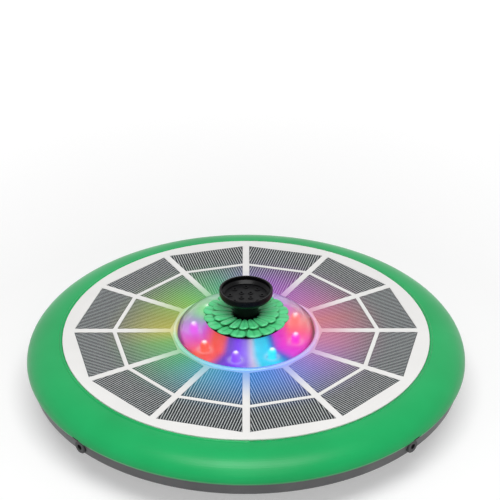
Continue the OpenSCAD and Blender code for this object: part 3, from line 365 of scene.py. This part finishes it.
# %% Lamp light as a node group
LAMP_COUNT = 9
LAMP_RING = 31.0     # millimetres from the centre to a lamp
LAMP_FIRST = -101.0  # degrees from the x axis to the first lamp
LAMP_STEP = 2 * math.pi / LAMP_COUNT
LIGHT, g_in, g_out = new_group(
    "lamp_light",
    [("Vector", "Vector", None), ("Near", "Float", 0.043), ("Far", "Float", 0.086)],
    [("Spill", "Color"), ("Reach", "Float"), ("Lamp", "Color"), ("Spot", "Float")])
place = add(LIGHT, "SeparateXYZ", {0: g_in["Vector"]}).outputs
angle = math_node(LIGHT, "ARCTAN2", place["Y"], place["X"])
round_turn = math_node(LIGHT, "MULTIPLY_ADD", angle, 1 / (2 * math.pi), 0.5)
radius = length_node(LIGHT, add(LIGHT, "CombineXYZ", {"X": place["X"], "Y": place["Y"]}).outputs[0])
from_first = math_node(LIGHT, "SUBTRACT", angle, math.radians(LAMP_FIRST) - LAMP_STEP / 2)
folded = math_node(LIGHT, "SUBTRACT", math_node(LIGHT, "FLOORED_MODULO", from_first, LAMP_STEP), LAMP_STEP / 2)
outward = math_node(LIGHT, "MULTIPLY", radius, math_node(LIGHT, "COSINE", folded))
along = math_node(LIGHT, "SUBTRACT", outward, LAMP_RING * MM)
across = math_node(LIGHT, "MULTIPLY", radius, math_node(LIGHT, "SINE", folded))
give(LIGHT, g_out, {
    "Spill": ramp_node(LIGHT, round_turn, ring_stops(SPILL_COLOURS)),
    "Reach": map_node(LIGHT, radius, (g_in["Near"], g_in["Far"]), (1.0, 0.0), "SMOOTHSTEP"),
    "Lamp": ramp_node(LIGHT, round_turn, ring_stops(LAMP_COLOURS)),
    "Spot": length_node(LIGHT, add(LIGHT, "CombineXYZ", {"X": along, "Y": across}).outputs[0])})
print("group", LIGHT.name, "has", len(LIGHT.nodes), "nodes")


# %% [markdown]
# ## The solar panel
# The panel is a white board under a satin laminate. Twelve slices of dark silicon are let into it, each cut in two by
# a bar, and the white between them shows as spokes. Near the dome every part of the panel takes on the lamps'
# colours. So one helper mixes the spill colour into a finish by its reach, and makes it give off a little as well.

# %% A surface in the light of the lamps
def lit_by_lamps(tree, shader, where, base, tint, glow, reach):
    """Tints a surface with the lamps' spill, and makes it give off a little of that light."""
    light = use_group(tree, LIGHT, {"Vector": where, "Near": reach[0], "Far": reach[1]})
    tinted = math_node(tree, "MULTIPLY", light["Reach"], tint)
    give(tree, shader.inputs, {
        "Base Color": blend_node(tree, "MIX", tinted, base, light["Spill"]),
        "Emission Color": blend_node(tree, "MIX", light["Reach"], BLACK, light["Spill"]),
        "Emission Strength": glow})


# %% White board
board_white, tree, shader, where = start_material("board_white")
skin = moulded(tree, where, (241, 240, 238), (234, 233, 231), smooth=0.3, rough=0.42, cloud=25.0, grain=2600.0)
surface(tree, shader, skin, bump=0.03, Coat_Weight=0.25, Coat_Roughness=0.12)
lit_by_lamps(tree, shader, where, skin["Colour"], tint=0.75, glow=0.12, reach=(0.041, 0.074))
dress(board_white, "panel_board")

# %% [markdown]
# Silicon cells are dark and slightly uneven, because silicon sets in crystals a few millimetres wide that each turn
# the light another way. A Voronoi pattern has one value for each cell, which is just such a crystal.

# %% Silicon
silicon, tree, shader, where = start_material("silicon")
crystals = add(tree, "TexVoronoi", {"Vector": where, "Scale": 160.0}).outputs["Color"]
sheen = add(tree, "SeparateColor", {0: crystals}).outputs[0]
dark = blend_node(tree, "MIX", sheen, linear(24, 30, 34), linear(33, 39, 43))
give(tree, shader.inputs, {
    "Roughness": map_node(tree, sheen, (0.0, 1.0), (0.3, 0.4)),
    "Specular IOR Level": 0.15, "Coat Weight": 0.06, "Coat Roughness": 0.15})
lit_by_lamps(tree, shader, where, dark, tint=0.58, glow=0.15, reach=(0.043, 0.086))
dress(silicon, "inner_cells", "outer_cells")

# %% [markdown]
# ## Silver lines
# Each slice carries thin silver lines, side by side along the slice, which collect the current. They are far too many
# and too thin for CAD, and a printed pattern would blur, so they are made as real strips. One slice's strips are boxes,
# cut along the two spokes by a bisecting plane, and the finished slice is spun round to make twelve.

# %% Measures of the panel, in millimetres
SECTORS = 12
HALF_SLICE = math.pi / SECTORS
SPOKE = 4.0        # white between two slices
BAR = 2.4          # white between a slice's inner and outer cell
CELL_IN, CELL_OUT = 44.0, 98.8
BAR_PLACE = 0.578  # how far out the bar lies between those two
CELL_MID = CELL_IN + (CELL_OUT - CELL_IN) * BAR_PLACE
LINE_PITCH = 1.525
LINE_WIDTH = 0.44
LINE_RISE = 0.06   # how far a strip stands above the cell, and how far it sinks into it
LINE_END = 0.35    # bare margin at a strip's ends
cell_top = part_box("inner_cells")[1].z / MM
print("the cells' top is", round(cell_top, 2), "mm up, and their bar", round(CELL_MID, 2), "mm out")


# %% Strips of one slice
def box(bm, low, high):
    """Adds a box between two corners, in millimetres."""
    low, high = Vector(low) * MM, Vector(high) * MM
    size = Matrix.Diagonal((*(high - low), 1))
    bmesh.ops.create_cube(bm, size=1, matrix=Matrix.Translation((low + high) / 2) @ size)


lines_bm = bmesh.new()
count = int(CELL_OUT * math.tan(HALF_SLICE) / LINE_PITCH)
for inner, outer in ((CELL_IN, CELL_MID - BAR / 2), (CELL_MID + BAR / 2, CELL_OUT)):
    for i in range(-count, count):
        side = (i + 0.5) * LINE_PITCH
        if abs(side) < outer * math.tan(HALF_SLICE) - SPOKE / 2:
            box(lines_bm, (inner + LINE_END, side - LINE_WIDTH / 2, cell_top - LINE_RISE),
                (outer - LINE_END, side + LINE_WIDTH / 2, cell_top + LINE_RISE))
print("one slice has", len(lines_bm.faces) // 6, "strips")


# %% Cut along the spokes, then spin
def whole(bm):
    return bm.verts[:] + bm.edges[:] + bm.faces[:]


for sign in (-1, 1):
    outwards = Vector((-math.sin(HALF_SLICE), sign * math.cos(HALF_SLICE), 0))
    margin = outwards * -(SPOKE / 2 + LINE_END) * MM
    cut = bmesh.ops.bisect_plane(lines_bm, geom=whole(lines_bm), plane_co=margin, plane_no=outwards, clear_outer=True)
    cut_edges = [e for e in cut["geom_cut"] if isinstance(e, bmesh.types.BMEdge)]
    bmesh.ops.holes_fill(lines_bm, edges=cut_edges, sides=4)
bmesh.ops.rotate(lines_bm, verts=lines_bm.verts, cent=(0, 0, 0), matrix=Matrix.Rotation(HALF_SLICE, 3, "Z"))
bmesh.ops.spin(lines_bm, geom=whole(lines_bm), cent=(0, 0, 0), axis=(0, 0, 1), dvec=(0, 0, 0),
               angle=2 * math.pi * (SECTORS - 1) / SECTORS, steps=SECTORS - 1, use_duplicate=True)
bmesh.ops.recalc_face_normals(lines_bm, faces=lines_bm.faces)
print("twelve slices have", len(lines_bm.faces), "faces")


# %% [markdown]
# A shape made with bmesh isn't an object yet. The helper below makes it one, at the origin, with its material, and
# lets it ride on a CAD body, so it moves when that body moves. The lines themselves are printed silver paste, which
# is pale grey, matte and a little worn.

# %% From a bmesh to a piece
def as_object(name, bm, material, smooth):
    """Turns a bmesh into an object at the origin, with one material."""
    mesh = bpy.data.meshes.new(name)
    bm.to_mesh(mesh)
    bm.free()
    for polygon in mesh.polygons:
        polygon.use_smooth = smooth
    mesh.materials.append(material)
    made = bpy.data.objects.new(name, mesh)
    bpy.context.scene.collection.objects.link(made)
    return made


def finished(name, bm, material, body, smooth=True):
    """A piece of the object, which rides on a CAD body."""
    piece = as_object(name, bm, material, smooth)
    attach(piece, body)
    print(name, "has", len(piece.data.polygons), "faces and rides on", body)
    return piece


# %% Silver finish
silver, tree, shader, where = start_material("printed_silver")
worn = noise_node(tree, where, 700.0, 3.0)
paste = blend_node(tree, "MIX", worn, linear(182, 186, 186), linear(200, 204, 203))
give(tree, shader.inputs, {"Roughness": map_node(tree, worn, NOISE_SPREAD, (0.35, 0.5)), "Specular IOR Level": 0.2})
lit_by_lamps(tree, shader, where, paste, tint=0.72, glow=0.2, reach=(0.043, 0.09))
finished("finger_lines", lines_bm, silver, "base", smooth=False)


# %% [markdown]
# ## The lamps and their dome
# Nine small lamps stand on a white ring board under a clear dome. Their light is what gives the dome its colour.
# Real light sources under a clear shell would fill the picture with noise, so the board, the reflector and the lamps
# glow by their materials: in the colour of their direction, and white-hot close to each lamp.

# %% Glowing parts under the dome
def glowing(name, base, glow, core, core_edge, spot_edge):
    """A part that the lamps colour, with a hot spot over each lamp that fades between two distances."""
    material, tree, shader, where = start_material(name)
    light = use_group(tree, LIGHT, {"Vector": where})
    speckle = noise_node(tree, where, 260.0, 3.0)
    uneven = map_node(tree, speckle, NOISE_SPREAD, (0.8, 1.0))
    near = map_node(tree, light["Spot"], (core_edge, spot_edge), (core, 0.0), "SMOOTHSTEP")
    hot = blend_node(tree, "MIX", near, light["Lamp"], WHITE)
    give(tree, shader.inputs, {
        "Emission Color": blend_node(tree, "MULTIPLY", 1.0, hot, uneven),
        "Base Color": blend_node(tree, "MULTIPLY", 1.0, light["Lamp"], linear(*base)),
        "Roughness": map_node(tree, speckle, NOISE_SPREAD, (0.35, 0.5)),
        "Emission Strength": glow})
    return material


dress(glowing("lamp_lens", (150, 150, 155), glow=1.15, core=1.0, core_edge=0.0004, spot_edge=0.0021), "leds")
dress(glowing("lamp_board", (110, 110, 115), glow=0.8, core=0.7, core_edge=0.0024, spot_edge=0.0055), "led_board")
dress(glowing("reflector_white", (120, 120, 125), glow=0.85, core=0.4, core_edge=0.002, spot_edge=0.0065), "reflector")

# %% [markdown]
# The dome itself is thin clear plastic with the faint blur that a moulded shell has. Full clear glass would show each
# lamp as a sharp dot and throw bright specks, so the shell is a little rough, bends light only slightly and is partly
# see-through. It also lets the light between the other pieces pass as if it weren't there.

# %% The clear dome
dome_clear, tree, shader, where = start_material("dome_clear")
ripple = noise_node(tree, where, 60.0, 2.0)
give(tree, shader.inputs, {
    "Base Color": blend_node(tree, "MIX", ripple, (0.97, 0.98, 1.0, 1), (0.93, 0.95, 1.0, 1)),
    "Normal": bump_node(tree, ripple, 0.05, 0.0003),
    "Roughness": 0.45, "IOR": 1.12, "Alpha": 0.8, "Transmission Weight": 1.0})
dress(dome_clear, "led_dome")
dome = NODES["led_dome"]
dome.visible_diffuse = dome.visible_glossy = dome.visible_shadow = False

# %% [markdown]
# A milky collar holds the foot of the dome, and the lamps shine into it from inside. It is pale blue, with a painted
# deep violet shadow in the narrow gap at the dome's foot, and it glows more than the panel does.

# %% The light collar round the dome
GAP_NEAR, GAP_FAR = 0.0412, 0.0422  # metres from the centre, between which the painted violet shadow of the gap fades
GAP_SHADOW_STRENGTH = 0.85
collar_milk, tree, shader, where = start_material("collar_milk")
milk = noise_node(tree, where, 90.0, 3.0)
pale = blend_node(tree, "MIX", milk, linear(206, 226, 250), linear(190, 216, 246))
gap_shadow_reach = use_group(tree, LIGHT, {"Vector": where, "Near": GAP_NEAR, "Far": GAP_FAR})
# Painted shadow: deep violet in the narrow gap at the dome's foot.
gap_shadow = math_node(tree, "MULTIPLY", gap_shadow_reach["Reach"], GAP_SHADOW_STRENGTH)
collar_with_gap_shadow = blend_node(tree, "MIX", gap_shadow, pale, linear(70, 62, 150))
give(tree, shader.inputs, {"Roughness": map_node(tree, milk, NOISE_SPREAD, (0.2, 0.32))})
lit_by_lamps(tree, shader, where, collar_with_gap_shadow, tint=0.56, glow=0.35, reach=(0.043, 0.09))
dress(collar_milk, "light_collar")

# %% [markdown]
# ## Nozzle, seat and spray head
# These are black, smooth and slightly glossy, so nearly all one sees of them is their reflections. A black that
# mirrors too much looks grey, so the mirroring is held low. The plate inside the bowl is a little lighter and duller.

# %% Black nozzle parts
dress(plastic("head_black", (8, 8, 10), (5, 5, 6), smooth=0.22, rough=0.32, cloud=80.0, grain=2600.0, bump=0.06,
              Specular_IOR_Level=0.12), "spray_head", "nozzle_stem", "nozzle_seat", "riser_tube")
dress(plastic("plate_black", (16, 16, 18), (11, 11, 12), smooth=0.4, rough=0.5, cloud=80.0, grain=2600.0, bump=0.1,
              Specular_IOR_Level=0.18), "spray_plate")

# %% [markdown]
# ## The petal flower
# The flower is a soft green moulding, like a dahlia: narrow puffy petals lie over broad, grooved ones. A petal could
# be a flat face with its grooves painted on, but its edge and its roundness show, so it is a full form. It starts as
# a ball, which is closed already. The ball is drawn out and widened, grooves are pressed in along its top, and it
# closes at a round tip. No two petals are quite alike, so each gets its own small change of length, turn and droop.
# The folds, grooves, undersides and roots of the petals are painted darker as painted shade, and how much of it a
# point gets is written on the mesh as it is made.

# %% Measures of the petals, in millimetres
LENGTHWISE, AROUND = 18, 24  # faces of a ball, from root to tip and round it
ALONG_X = Matrix.Rotation(math.pi / 2, 4, "Y")
VARY_LENGTH = 0.5
VARY_FACING = 0.035  # radians
VARY_DROOP = 0.25
VARY_SWAY = 0.3
ROUND_FROM = 0.75    # the part of a petal's length where its tip begins to close
BELLY = 0.55         # how round the underside is, against the top
low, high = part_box("flower_collar")
flower_z, flower_r = low.z / MM, high.x / MM
flower_bm = bmesh.new()
fold_shade = flower_bm.verts.layers.float.new("fold_shade")
print("the flower starts", round(flower_z, 2), "mm up and reaches", round(flower_r, 2), "mm out")


# %% One petal
def tip_round(t):
    """One along the body of a petal, closing as a round end at its tip."""
    return math.sqrt(max(0.0, 1 - (max(0.0, t - ROUND_FROM) / (1 - ROUND_FROM)) ** 2))


def petal(facing, inner, outer, base_z, tip_z, widths, thick, ridge_depth, seed):
    """A petal between two distances from the centre, in millimetres: a ball drawn out, widened and grooved."""
    vary = [noise.noise(Vector((seed * 1.7, k * 3.1, 0.5))) for k in range(4)]
    outer += VARY_LENGTH * vary[0]
    facing += VARY_FACING * vary[1]
    ball = bmesh.ops.create_uvsphere(flower_bm, u_segments=AROUND, v_segments=LENGTHWISE, radius=1, matrix=ALONG_X)
    for vert in ball["verts"]:
        # Where the point lies: t from 0 at the root to 1 at the tip, side and up round the petal's spine.
        t = math.acos(max(-1.0, min(1.0, -vert.co.x))) / math.pi
        thin = max(1e-6, math.hypot(vert.co.y, vert.co.z))
        side, up = vert.co.y / thin, vert.co.z / thin
        # How wide and how thick the petal is there, and how deeply it is grooved.
        closing = tip_round(t) * min(1.0, 0.35 + 4 * t) if thin > 1e-5 else 0.0
        half_w = (widths[0] + (widths[1] - widths[0]) * t ** 0.8) * closing
        half_h = thick * (0.55 + 0.45 * t) * closing ** 0.7
        groove = ridge_depth * (0.5 + 0.5 * math.cos(2 * math.pi * side)) * max(0.0, up)
        # Its place beside and above the spine, where the grooves fade at both ends, and how much painted shade it gets.
        lift = half_h * (up if up > 0 else BELLY * up) - half_h * groove * min(1, 3 * (1 - t)) * min(1, 3 * t)
        y = side * half_w + VARY_SWAY * vary[3] * t * t
        spine_z = base_z + (tip_z + VARY_DROOP * vary[2] - base_z) * t ** 1.3
        z = spine_z + lift + y * t * (0.08 + 0.16 * vary[3])
        # Painted shade: darker at the petal's sides, in its grooves, on its underside and near its root.
        vert[fold_shade] = min(1.0, 0.8 * abs(side) ** 7 + 1.1 * groove + max(0.0, -up) + 0.35 * (1 - t) ** 3)
        vert.co = Vector((inner + (outer - inner) * t, y, z)) * MM
    bmesh.ops.rotate(flower_bm, verts=ball["verts"], cent=(0, 0, 0), matrix=Matrix.Rotation(facing, 3, "Z"))


# %% Broad petals below, narrow ones above
LOWER_PETALS, UPPER_PETALS = 16, 18
UPPER_TURN = 0.1  # radians
UPPER_SEEDS = 90  # so that no upper petal varies as a lower one does
for i in range(LOWER_PETALS):
    petal(2 * math.pi * (i + 0.5) / LOWER_PETALS, inner=11.5, outer=flower_r + 1.1, base_z=flower_z + 0.6,
          tip_z=flower_z + 1.1, widths=(2.4, 5.4), thick=1.15, ridge_depth=0.45, seed=i)
for i in range(UPPER_PETALS):
    petal(2 * math.pi * i / UPPER_PETALS + UPPER_TURN, inner=7.6, outer=20.0, base_z=flower_z + 2.3,
          tip_z=flower_z + 3.3, widths=(1.3, 3.35), thick=1.1, ridge_depth=0.4, seed=i + UPPER_SEEDS)
print("petals have", len(flower_bm.verts), "points")

# %% [markdown]
# The petals are moulded together on a thin round web, which closes the gaps between their roots. Two circles are
# bridged to a flat ring, and the ring is extruded upwards. It lies deep between the petals, so all of it gets the
# full painted shade.

# %% The web under the petals
WEB_OUT, WEB_IN = 17.5, 7.6  # radii, in millimetres
WEB_BASE, WEB_THICK = 0.25, 0.9
WEB_SIDES = 72
web_place = Matrix.Translation((0, 0, (flower_z + WEB_BASE) * MM))
rims = [bmesh.ops.create_circle(flower_bm, segments=WEB_SIDES, radius=r * MM, matrix=web_place)["verts"]
        for r in (WEB_OUT, WEB_IN)]
web = bmesh.ops.bridge_loops(flower_bm, edges=[e for e in flower_bm.edges if not e.link_faces])
# Painted shade: the whole web gets the darkest green.
for vert in rims[0] + rims[1]:
    vert[fold_shade] = 1.0
raised = bmesh.ops.extrude_face_region(flower_bm, geom=web["faces"])["geom"]
web_top = [v for v in raised if isinstance(v, bmesh.types.BMVert)]
bmesh.ops.translate(flower_bm, vec=(0, 0, WEB_THICK * MM), verts=web_top)
for vert in web_top:
    vert[fold_shade] = 1.0
bmesh.ops.remove_doubles(flower_bm, verts=flower_bm.verts, dist=1e-7)
bmesh.ops.recalc_face_normals(flower_bm, faces=flower_bm.faces)
print("petals and web have", len(flower_bm.verts), "points")

# %% Flower finish, with painted shade in the folds
flower_green, tree, shader, where = start_material("flower_green")
skin = moulded(tree, where, (92, 218, 146), (82, 206, 132), smooth=0.3, rough=0.45, cloud=120.0, grain=2600.0)
surface(tree, shader, skin, bump=0.06)
# Painted shade: the written amount mixes the green towards a deep shadow green.
depth = add(tree, "Attribute", attribute_name="fold_shade").outputs["Fac"]
fold_shade_amount = map_node(tree, depth, (0.25, 1.0), (0.0, 1.0))
fold_shaded_green = blend_node(tree, "MIX", fold_shade_amount, skin["Colour"], linear(16, 118, 60))
give(tree, shader.inputs, {"Base Color": fold_shaded_green})
dress(flower_green, "flower_collar")
petal_flower = finished("petal_flower", flower_bm, flower_green, "base")
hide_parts("flower_collar")

# %% [markdown]
# ## The pump and what is inside
# These parts show from below, through the strainer, or when the case is opened. They get the finishes that such parts
# have: a glass-filled black pump, a pale impeller, a dark magnet, copper windings, a ceramic shaft.

# %% Pump finishes
dress(plastic("pump_black", (48, 49, 52), (40, 41, 44), smooth=0.4, rough=0.55, cloud=70.0, grain=2400.0, bump=0.2),
      "pump_body", "volute_cover", "button_switch")
dress(plastic("potting_resin", (40, 40, 44), (30, 30, 34), smooth=0.2, rough=0.35, cloud=90.0, grain=1500.0, bump=0.1),
      "motor_cap")
dress(plastic("impeller_pale", (224, 226, 230), (212, 214, 220), smooth=0.3, rough=0.45, cloud=120.0, grain=2600.0,
              bump=0.08), "impeller")
dress(plastic("magnet_dark", (62, 62, 66), (50, 50, 54), smooth=0.35, rough=0.5, cloud=260.0, grain=3200.0,
              bump=0.25), "rotor_magnet")
dress(plastic("ceramic", (238, 236, 228), (230, 228, 218), smooth=0.12, rough=0.22, cloud=160.0, grain=3200.0,
              bump=0.02), "pump_shaft", "shaft_bushes")
dress(metal("copper_winding", (214, 128, 82), smooth=0.25, rough=0.4, stretch=(1, 40, 1), scale=500.0, bump=0.5),
      "stator")

# %% [markdown]
# The strainer is a coarse dark grey moulding, and the button is red, so that it is found from below. Inside, two
# battery cells in blue sleeves lie in white saddles, and red leads join the parts. Each could have a tree of its own,
# but all of them are plastics, so the same function does with other numbers.

# %% Strainer, button, battery and wiring
dress(plastic("strainer_grey", (66, 67, 69), (57, 58, 60), smooth=0.45, rough=0.6, cloud=60.0, grain=3000.0,
              bump=0.25), "strainer_cover")
dress(plastic("button_red", (196, 44, 40), (180, 36, 34), smooth=0.5, rough=0.62, cloud=120.0, grain=2600.0,
              bump=0.15), "power_button")
dress(plastic("cell_sleeve", (54, 104, 176), (46, 92, 160), smooth=0.22, rough=0.36, cloud=80.0, grain=1200.0,
              bump=0.05), "battery_cells")
dress(plastic("saddle_white", (222, 222, 216), (210, 210, 204), smooth=0.45, rough=0.6, cloud=80.0, grain=2600.0,
              bump=0.15), "battery_saddles")
dress(plastic("wire_red", (178, 30, 28), (160, 24, 24), smooth=0.35, rough=0.5, cloud=200.0, grain=2600.0,
              bump=0.05), "wiring")

# %% [markdown]
# A circuit board has thin copper tracks under a green lacquer, which run mostly square to each other and stand up a
# hair. A Voronoi pattern measured in steps along x, y and z gives such lines without drawing them one by one.

# %% Control board
circuit, tree, shader, where = start_material("circuit_board")
tracks = add(tree, "TexVoronoi", {"Vector": where, "Scale": 420.0}, distance="MANHATTAN", feature="F2")
track = map_node(tree, tracks.outputs["Distance"], (0.62, 0.66), (0.0, 1.0))
give(tree, shader.inputs, {
    "Base Color": blend_node(tree, "MIX", track, linear(22, 98, 52), linear(34, 124, 66)),
    "Roughness": map_node(tree, track, (0.0, 1.0), (0.35, 0.25)),
    "Normal": bump_node(tree, track, 0.3, 0.00005)})
dress(circuit, "control_board")

# %% [markdown]
# The ring is filled with a closed-cell foam, which keeps it afloat, and the filter is an open-cell one. Both are a
# mass of bubbles with thin walls. Noise has no walls, but a Voronoi pattern grows from the middle of each cell to its
# edge, so it gives them. The hollow in the middle of each bubble is painted darker, as painted shade.

# %% Foam cells as a node group
FOAM_CELLS, g_in, g_out = new_group(
    "foam_cells",
    [("Vector", "Vector", None), ("Colour", "Color", (0.5, 0.5, 0.5, 1)), ("Hollow Shade", "Color", (0.2, 0.2, 0.2, 1)),
     ("Scale", "Float", 900.0)],
    FINISH_OUTPUTS)
bubbles = add(FOAM_CELLS, "TexVoronoi", {"Vector": g_in["Vector"], "Scale": g_in["Scale"]}).outputs["Distance"]
bubble_wall = map_node(FOAM_CELLS, bubbles, (0.1, 0.6), (0.0, 1.0))
# Painted shade: the hollow in the middle of each bubble is darker than its walls.
give(FOAM_CELLS, g_out, {
    "Colour": blend_node(FOAM_CELLS, "MIX", bubble_wall, g_in["Hollow Shade"], g_in["Colour"]),
    "Roughness": map_node(FOAM_CELLS, bubble_wall, (0.0, 1.0), (0.95, 0.75)),
    "Height": bubble_wall})
print("group", FOAM_CELLS.name, "has", len(FOAM_CELLS.nodes), "nodes")


# %% Foam float
def foam(name, colour, hollow_shade, scale, bump):
    material, tree, shader, where = start_material(name)
    surface(tree, shader, use_group(tree, FOAM_CELLS, {
        "Vector": where, "Colour": linear(*colour), "Hollow Shade": linear(*hollow_shade), "Scale": scale}), bump)
    return material


# Painted shade, faint: the bubbles' hollows are a little darker than their walls.
dress(foam("float_foam", (240, 240, 236), (222, 222, 218), scale=320.0, bump=0.25), "foam_float")
print("materials made:", len(bpy.data.materials))

# %% [markdown]
# ## The filter sponge
# A disc of open-cell foam lies in the strainer. Cut foam is never quite flat: it swells between where it is held and
# its cut edge is soft. Cloth simulation suits a cushion, but this foam is held in a rigid cage and keeps its shape.
# So a disc is subdivided, its rim is rounded, and gentle noise moves its faces.

# %% A disc with enough points
SPONGE_SIDES = 72
SPONGE_RINGS = 9
low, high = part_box("filter_sponge")
sponge_r = (high.x - low.x) / 2
middle = (low.z + high.z) / 2
half = (high.z - low.z) / 2
sponge_bm = bmesh.new()
bmesh.ops.create_cone(sponge_bm, cap_ends=True, segments=SPONGE_SIDES, radius1=sponge_r, radius2=sponge_r,
                      depth=high.z - low.z, matrix=Matrix.Translation((0, 0, middle)))
for cap in [f for f in sponge_bm.faces if len(f.verts) == SPONGE_SIDES]:
    for _ in range(SPONGE_RINGS):
        bmesh.ops.inset_region(sponge_bm, faces=[cap], thickness=sponge_r / (SPONGE_RINGS + 1), use_even_offset=True)
uprights = [e for e in sponge_bm.edges if abs(e.verts[0].co.z - e.verts[1].co.z) > half]
bmesh.ops.subdivide_edges(sponge_bm, edges=uprights, cuts=5, use_grid_fill=True)
print("sponge is", round(2 * sponge_r / MM, 1), "mm wide and has", len(sponge_bm.verts), "points")

# %% Soft rim and uneven faces
SWELL, SWELL_SCALE = 0.0003, 180  # metres of unevenness, and its scale
RIM_FROM, RIM_WIDTH = 0.86, 0.14  # the part of the radius where the rim rounds off
RIM_DROP = 0.12                   # how much thinner the rim is
THICK, CROWN = 0.93, 0.04         # share of its full thickness, and how much the middle has more and the rim less
PULLED_IN = 0.012                 # how much narrower the disc is at its two faces than half way up
CUT_IN, CUT_SCALE = 0.004, 260    # unevenness of the cut edge, and its scale
for vert in sponge_bm.verts:
    out = math.hypot(vert.co.x, vert.co.y) / sponge_r
    swell = noise.noise(vert.co * SWELL_SCALE) * SWELL
    level = (vert.co.z - middle) / half  # -1 on the lower face, 1 on the upper one
    softened = 1 - RIM_DROP * max(0.0, (out - RIM_FROM) / RIM_WIDTH) ** 2
    vert.co.z = middle + level * half * softened * (THICK + CROWN * math.cos(out * math.pi)) + swell * level
    pull = 1 - PULLED_IN * level ** 4 - CUT_IN * (1 + noise.noise(vert.co * CUT_SCALE))
    vert.co.x *= pull
    vert.co.y *= pull
bmesh.ops.recalc_face_normals(sponge_bm, faces=sponge_bm.faces)
# Painted shade: the sponge's open pores are much darker than its walls.
sponge_foam = foam("sponge_foam", (70, 74, 78), (22, 24, 26), scale=1100.0, bump=0.9)
sponge_pad = finished("sponge_pad", sponge_bm, sponge_foam, "strainer")
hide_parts("filter_sponge")


# %% [markdown]
# ## Studio
# The picture is a plain product shot on white. More light on everything would turn the backdrop white, but it would
# clip the pale parts of the object too. So the surround is full white only where the camera sees it, straight or in a
# reflection, and the light that it gives is held lower.

# %% White surround
def seen_ray(tree):
    """1 for a ray that shows the backdrop, straight, mirrored or through glass, and 0 for one that lights a surface."""
    path = add(tree, "LightPath").outputs
    indirect = math_node(tree, "MAXIMUM", path["Is Glossy Ray"], path["Is Transmission Ray"])
    return math_node(tree, "MAXIMUM", path["Is Camera Ray"], indirect)


SURROUND = 0.26  # strength of the surround as a light
world = bpy.data.worlds.new("studio")
bpy.context.scene.world = world
world.use_nodes = True
tree = world.node_tree
tree.nodes.clear()
strength = math_node(tree, "MULTIPLY_ADD", seen_ray(tree), 1 - SURROUND, SURROUND)
surround = add(tree, "Background", {"Color": WHITE, "Strength": strength})
add(tree, "OutputWorld", {0: surround.outputs[0]})
print("surround lights at", SURROUND, "and shows at 1")

# %% [markdown]
# The floor is pale and matte, and catches the object's soft shadow. Paint alone would fall off to grey away from the
# lights, so the floor also gives off a light of its own to rays that show it. That light is weak near the object and
# grows outwards, so the shadow stays and the rest is white. Seen from below the floor isn't there, so the underside
# of the object can be looked at.

# %% Floor
FLOOR_REACH = 3.0  # metres from the middle to each side
FLOOR_GREY = (0.66, 0.66, 0.66, 1)
LIFT_FROM, LIFT_TO = 0.2, 0.9  # metres from the middle, between which the lift grows
LIFT_LEAST, LIFT_MOST = 0.38, 0.92
floor_paint = bpy.data.materials.new("floor_paint")
floor_paint.use_nodes = True
tree = floor_paint.node_tree
tree.nodes.clear()
matt = add(tree, "BsdfDiffuse", {"Color": FLOOR_GREY})
from_middle = length_node(tree, add(tree, "TexCoord").outputs["Object"])
growing = map_node(tree, from_middle, (LIFT_FROM, LIFT_TO), (LIFT_LEAST, LIFT_MOST))
lift = add(tree, "Emission", {"Color": WHITE, "Strength": math_node(tree, "MULTIPLY", seen_ray(tree), growing)})
painted = add(tree, "AddShader", {0: matt.outputs[0], 1: lift.outputs[0]})
below = add(tree, "NewGeometry").outputs["Backfacing"]
nothing = add(tree, "BsdfTransparent")
one_sided = add(tree, "MixShader", {0: below, 1: painted.outputs[0], 2: nothing.outputs[0]})
add(tree, "OutputMaterial", {0: one_sided.outputs[0]})
floor_bm = bmesh.new()
bmesh.ops.create_grid(floor_bm, x_segments=1, y_segments=1, size=FLOOR_REACH)
floor = as_object("floor", floor_bm, floor_paint, smooth=False)
print("floor is", [round(side, 2) for side in floor.dimensions], "m")


# %% [markdown]
# Two soft boxes light the object, as in a small studio. The wide one hangs above and in front, and gives the long
# highlight on the front of the ring. The other stands further forward and lower, is much weaker, and opens up the
# shadows under the ring and in the bowl.

# %% Lights
def soft_box(name, place, target, size, power):
    """A flat rectangular light that faces a target."""
    data = bpy.data.lights.new(name, "AREA")
    data.shape = "RECTANGLE"
    data.size, data.size_y = size
    data.energy = power
    light = bpy.data.objects.new(name, data)
    light.location = place
    light.rotation_euler = (Vector(target) - Vector(place)).to_track_quat("-Z", "Y").to_euler()
    bpy.context.scene.collection.objects.link(light)
    print(name, "gives", power, "W from", place)


soft_box("overhead", place=(0.02, -0.5, 1.25), target=(0, -0.02, 0.03), size=(0.95, 0.6), power=13.2)
soft_box("front_fill", place=(0.1, -1.35, 0.9), target=(0, 0, 0.03), size=(0.9, 0.9), power=3.2)
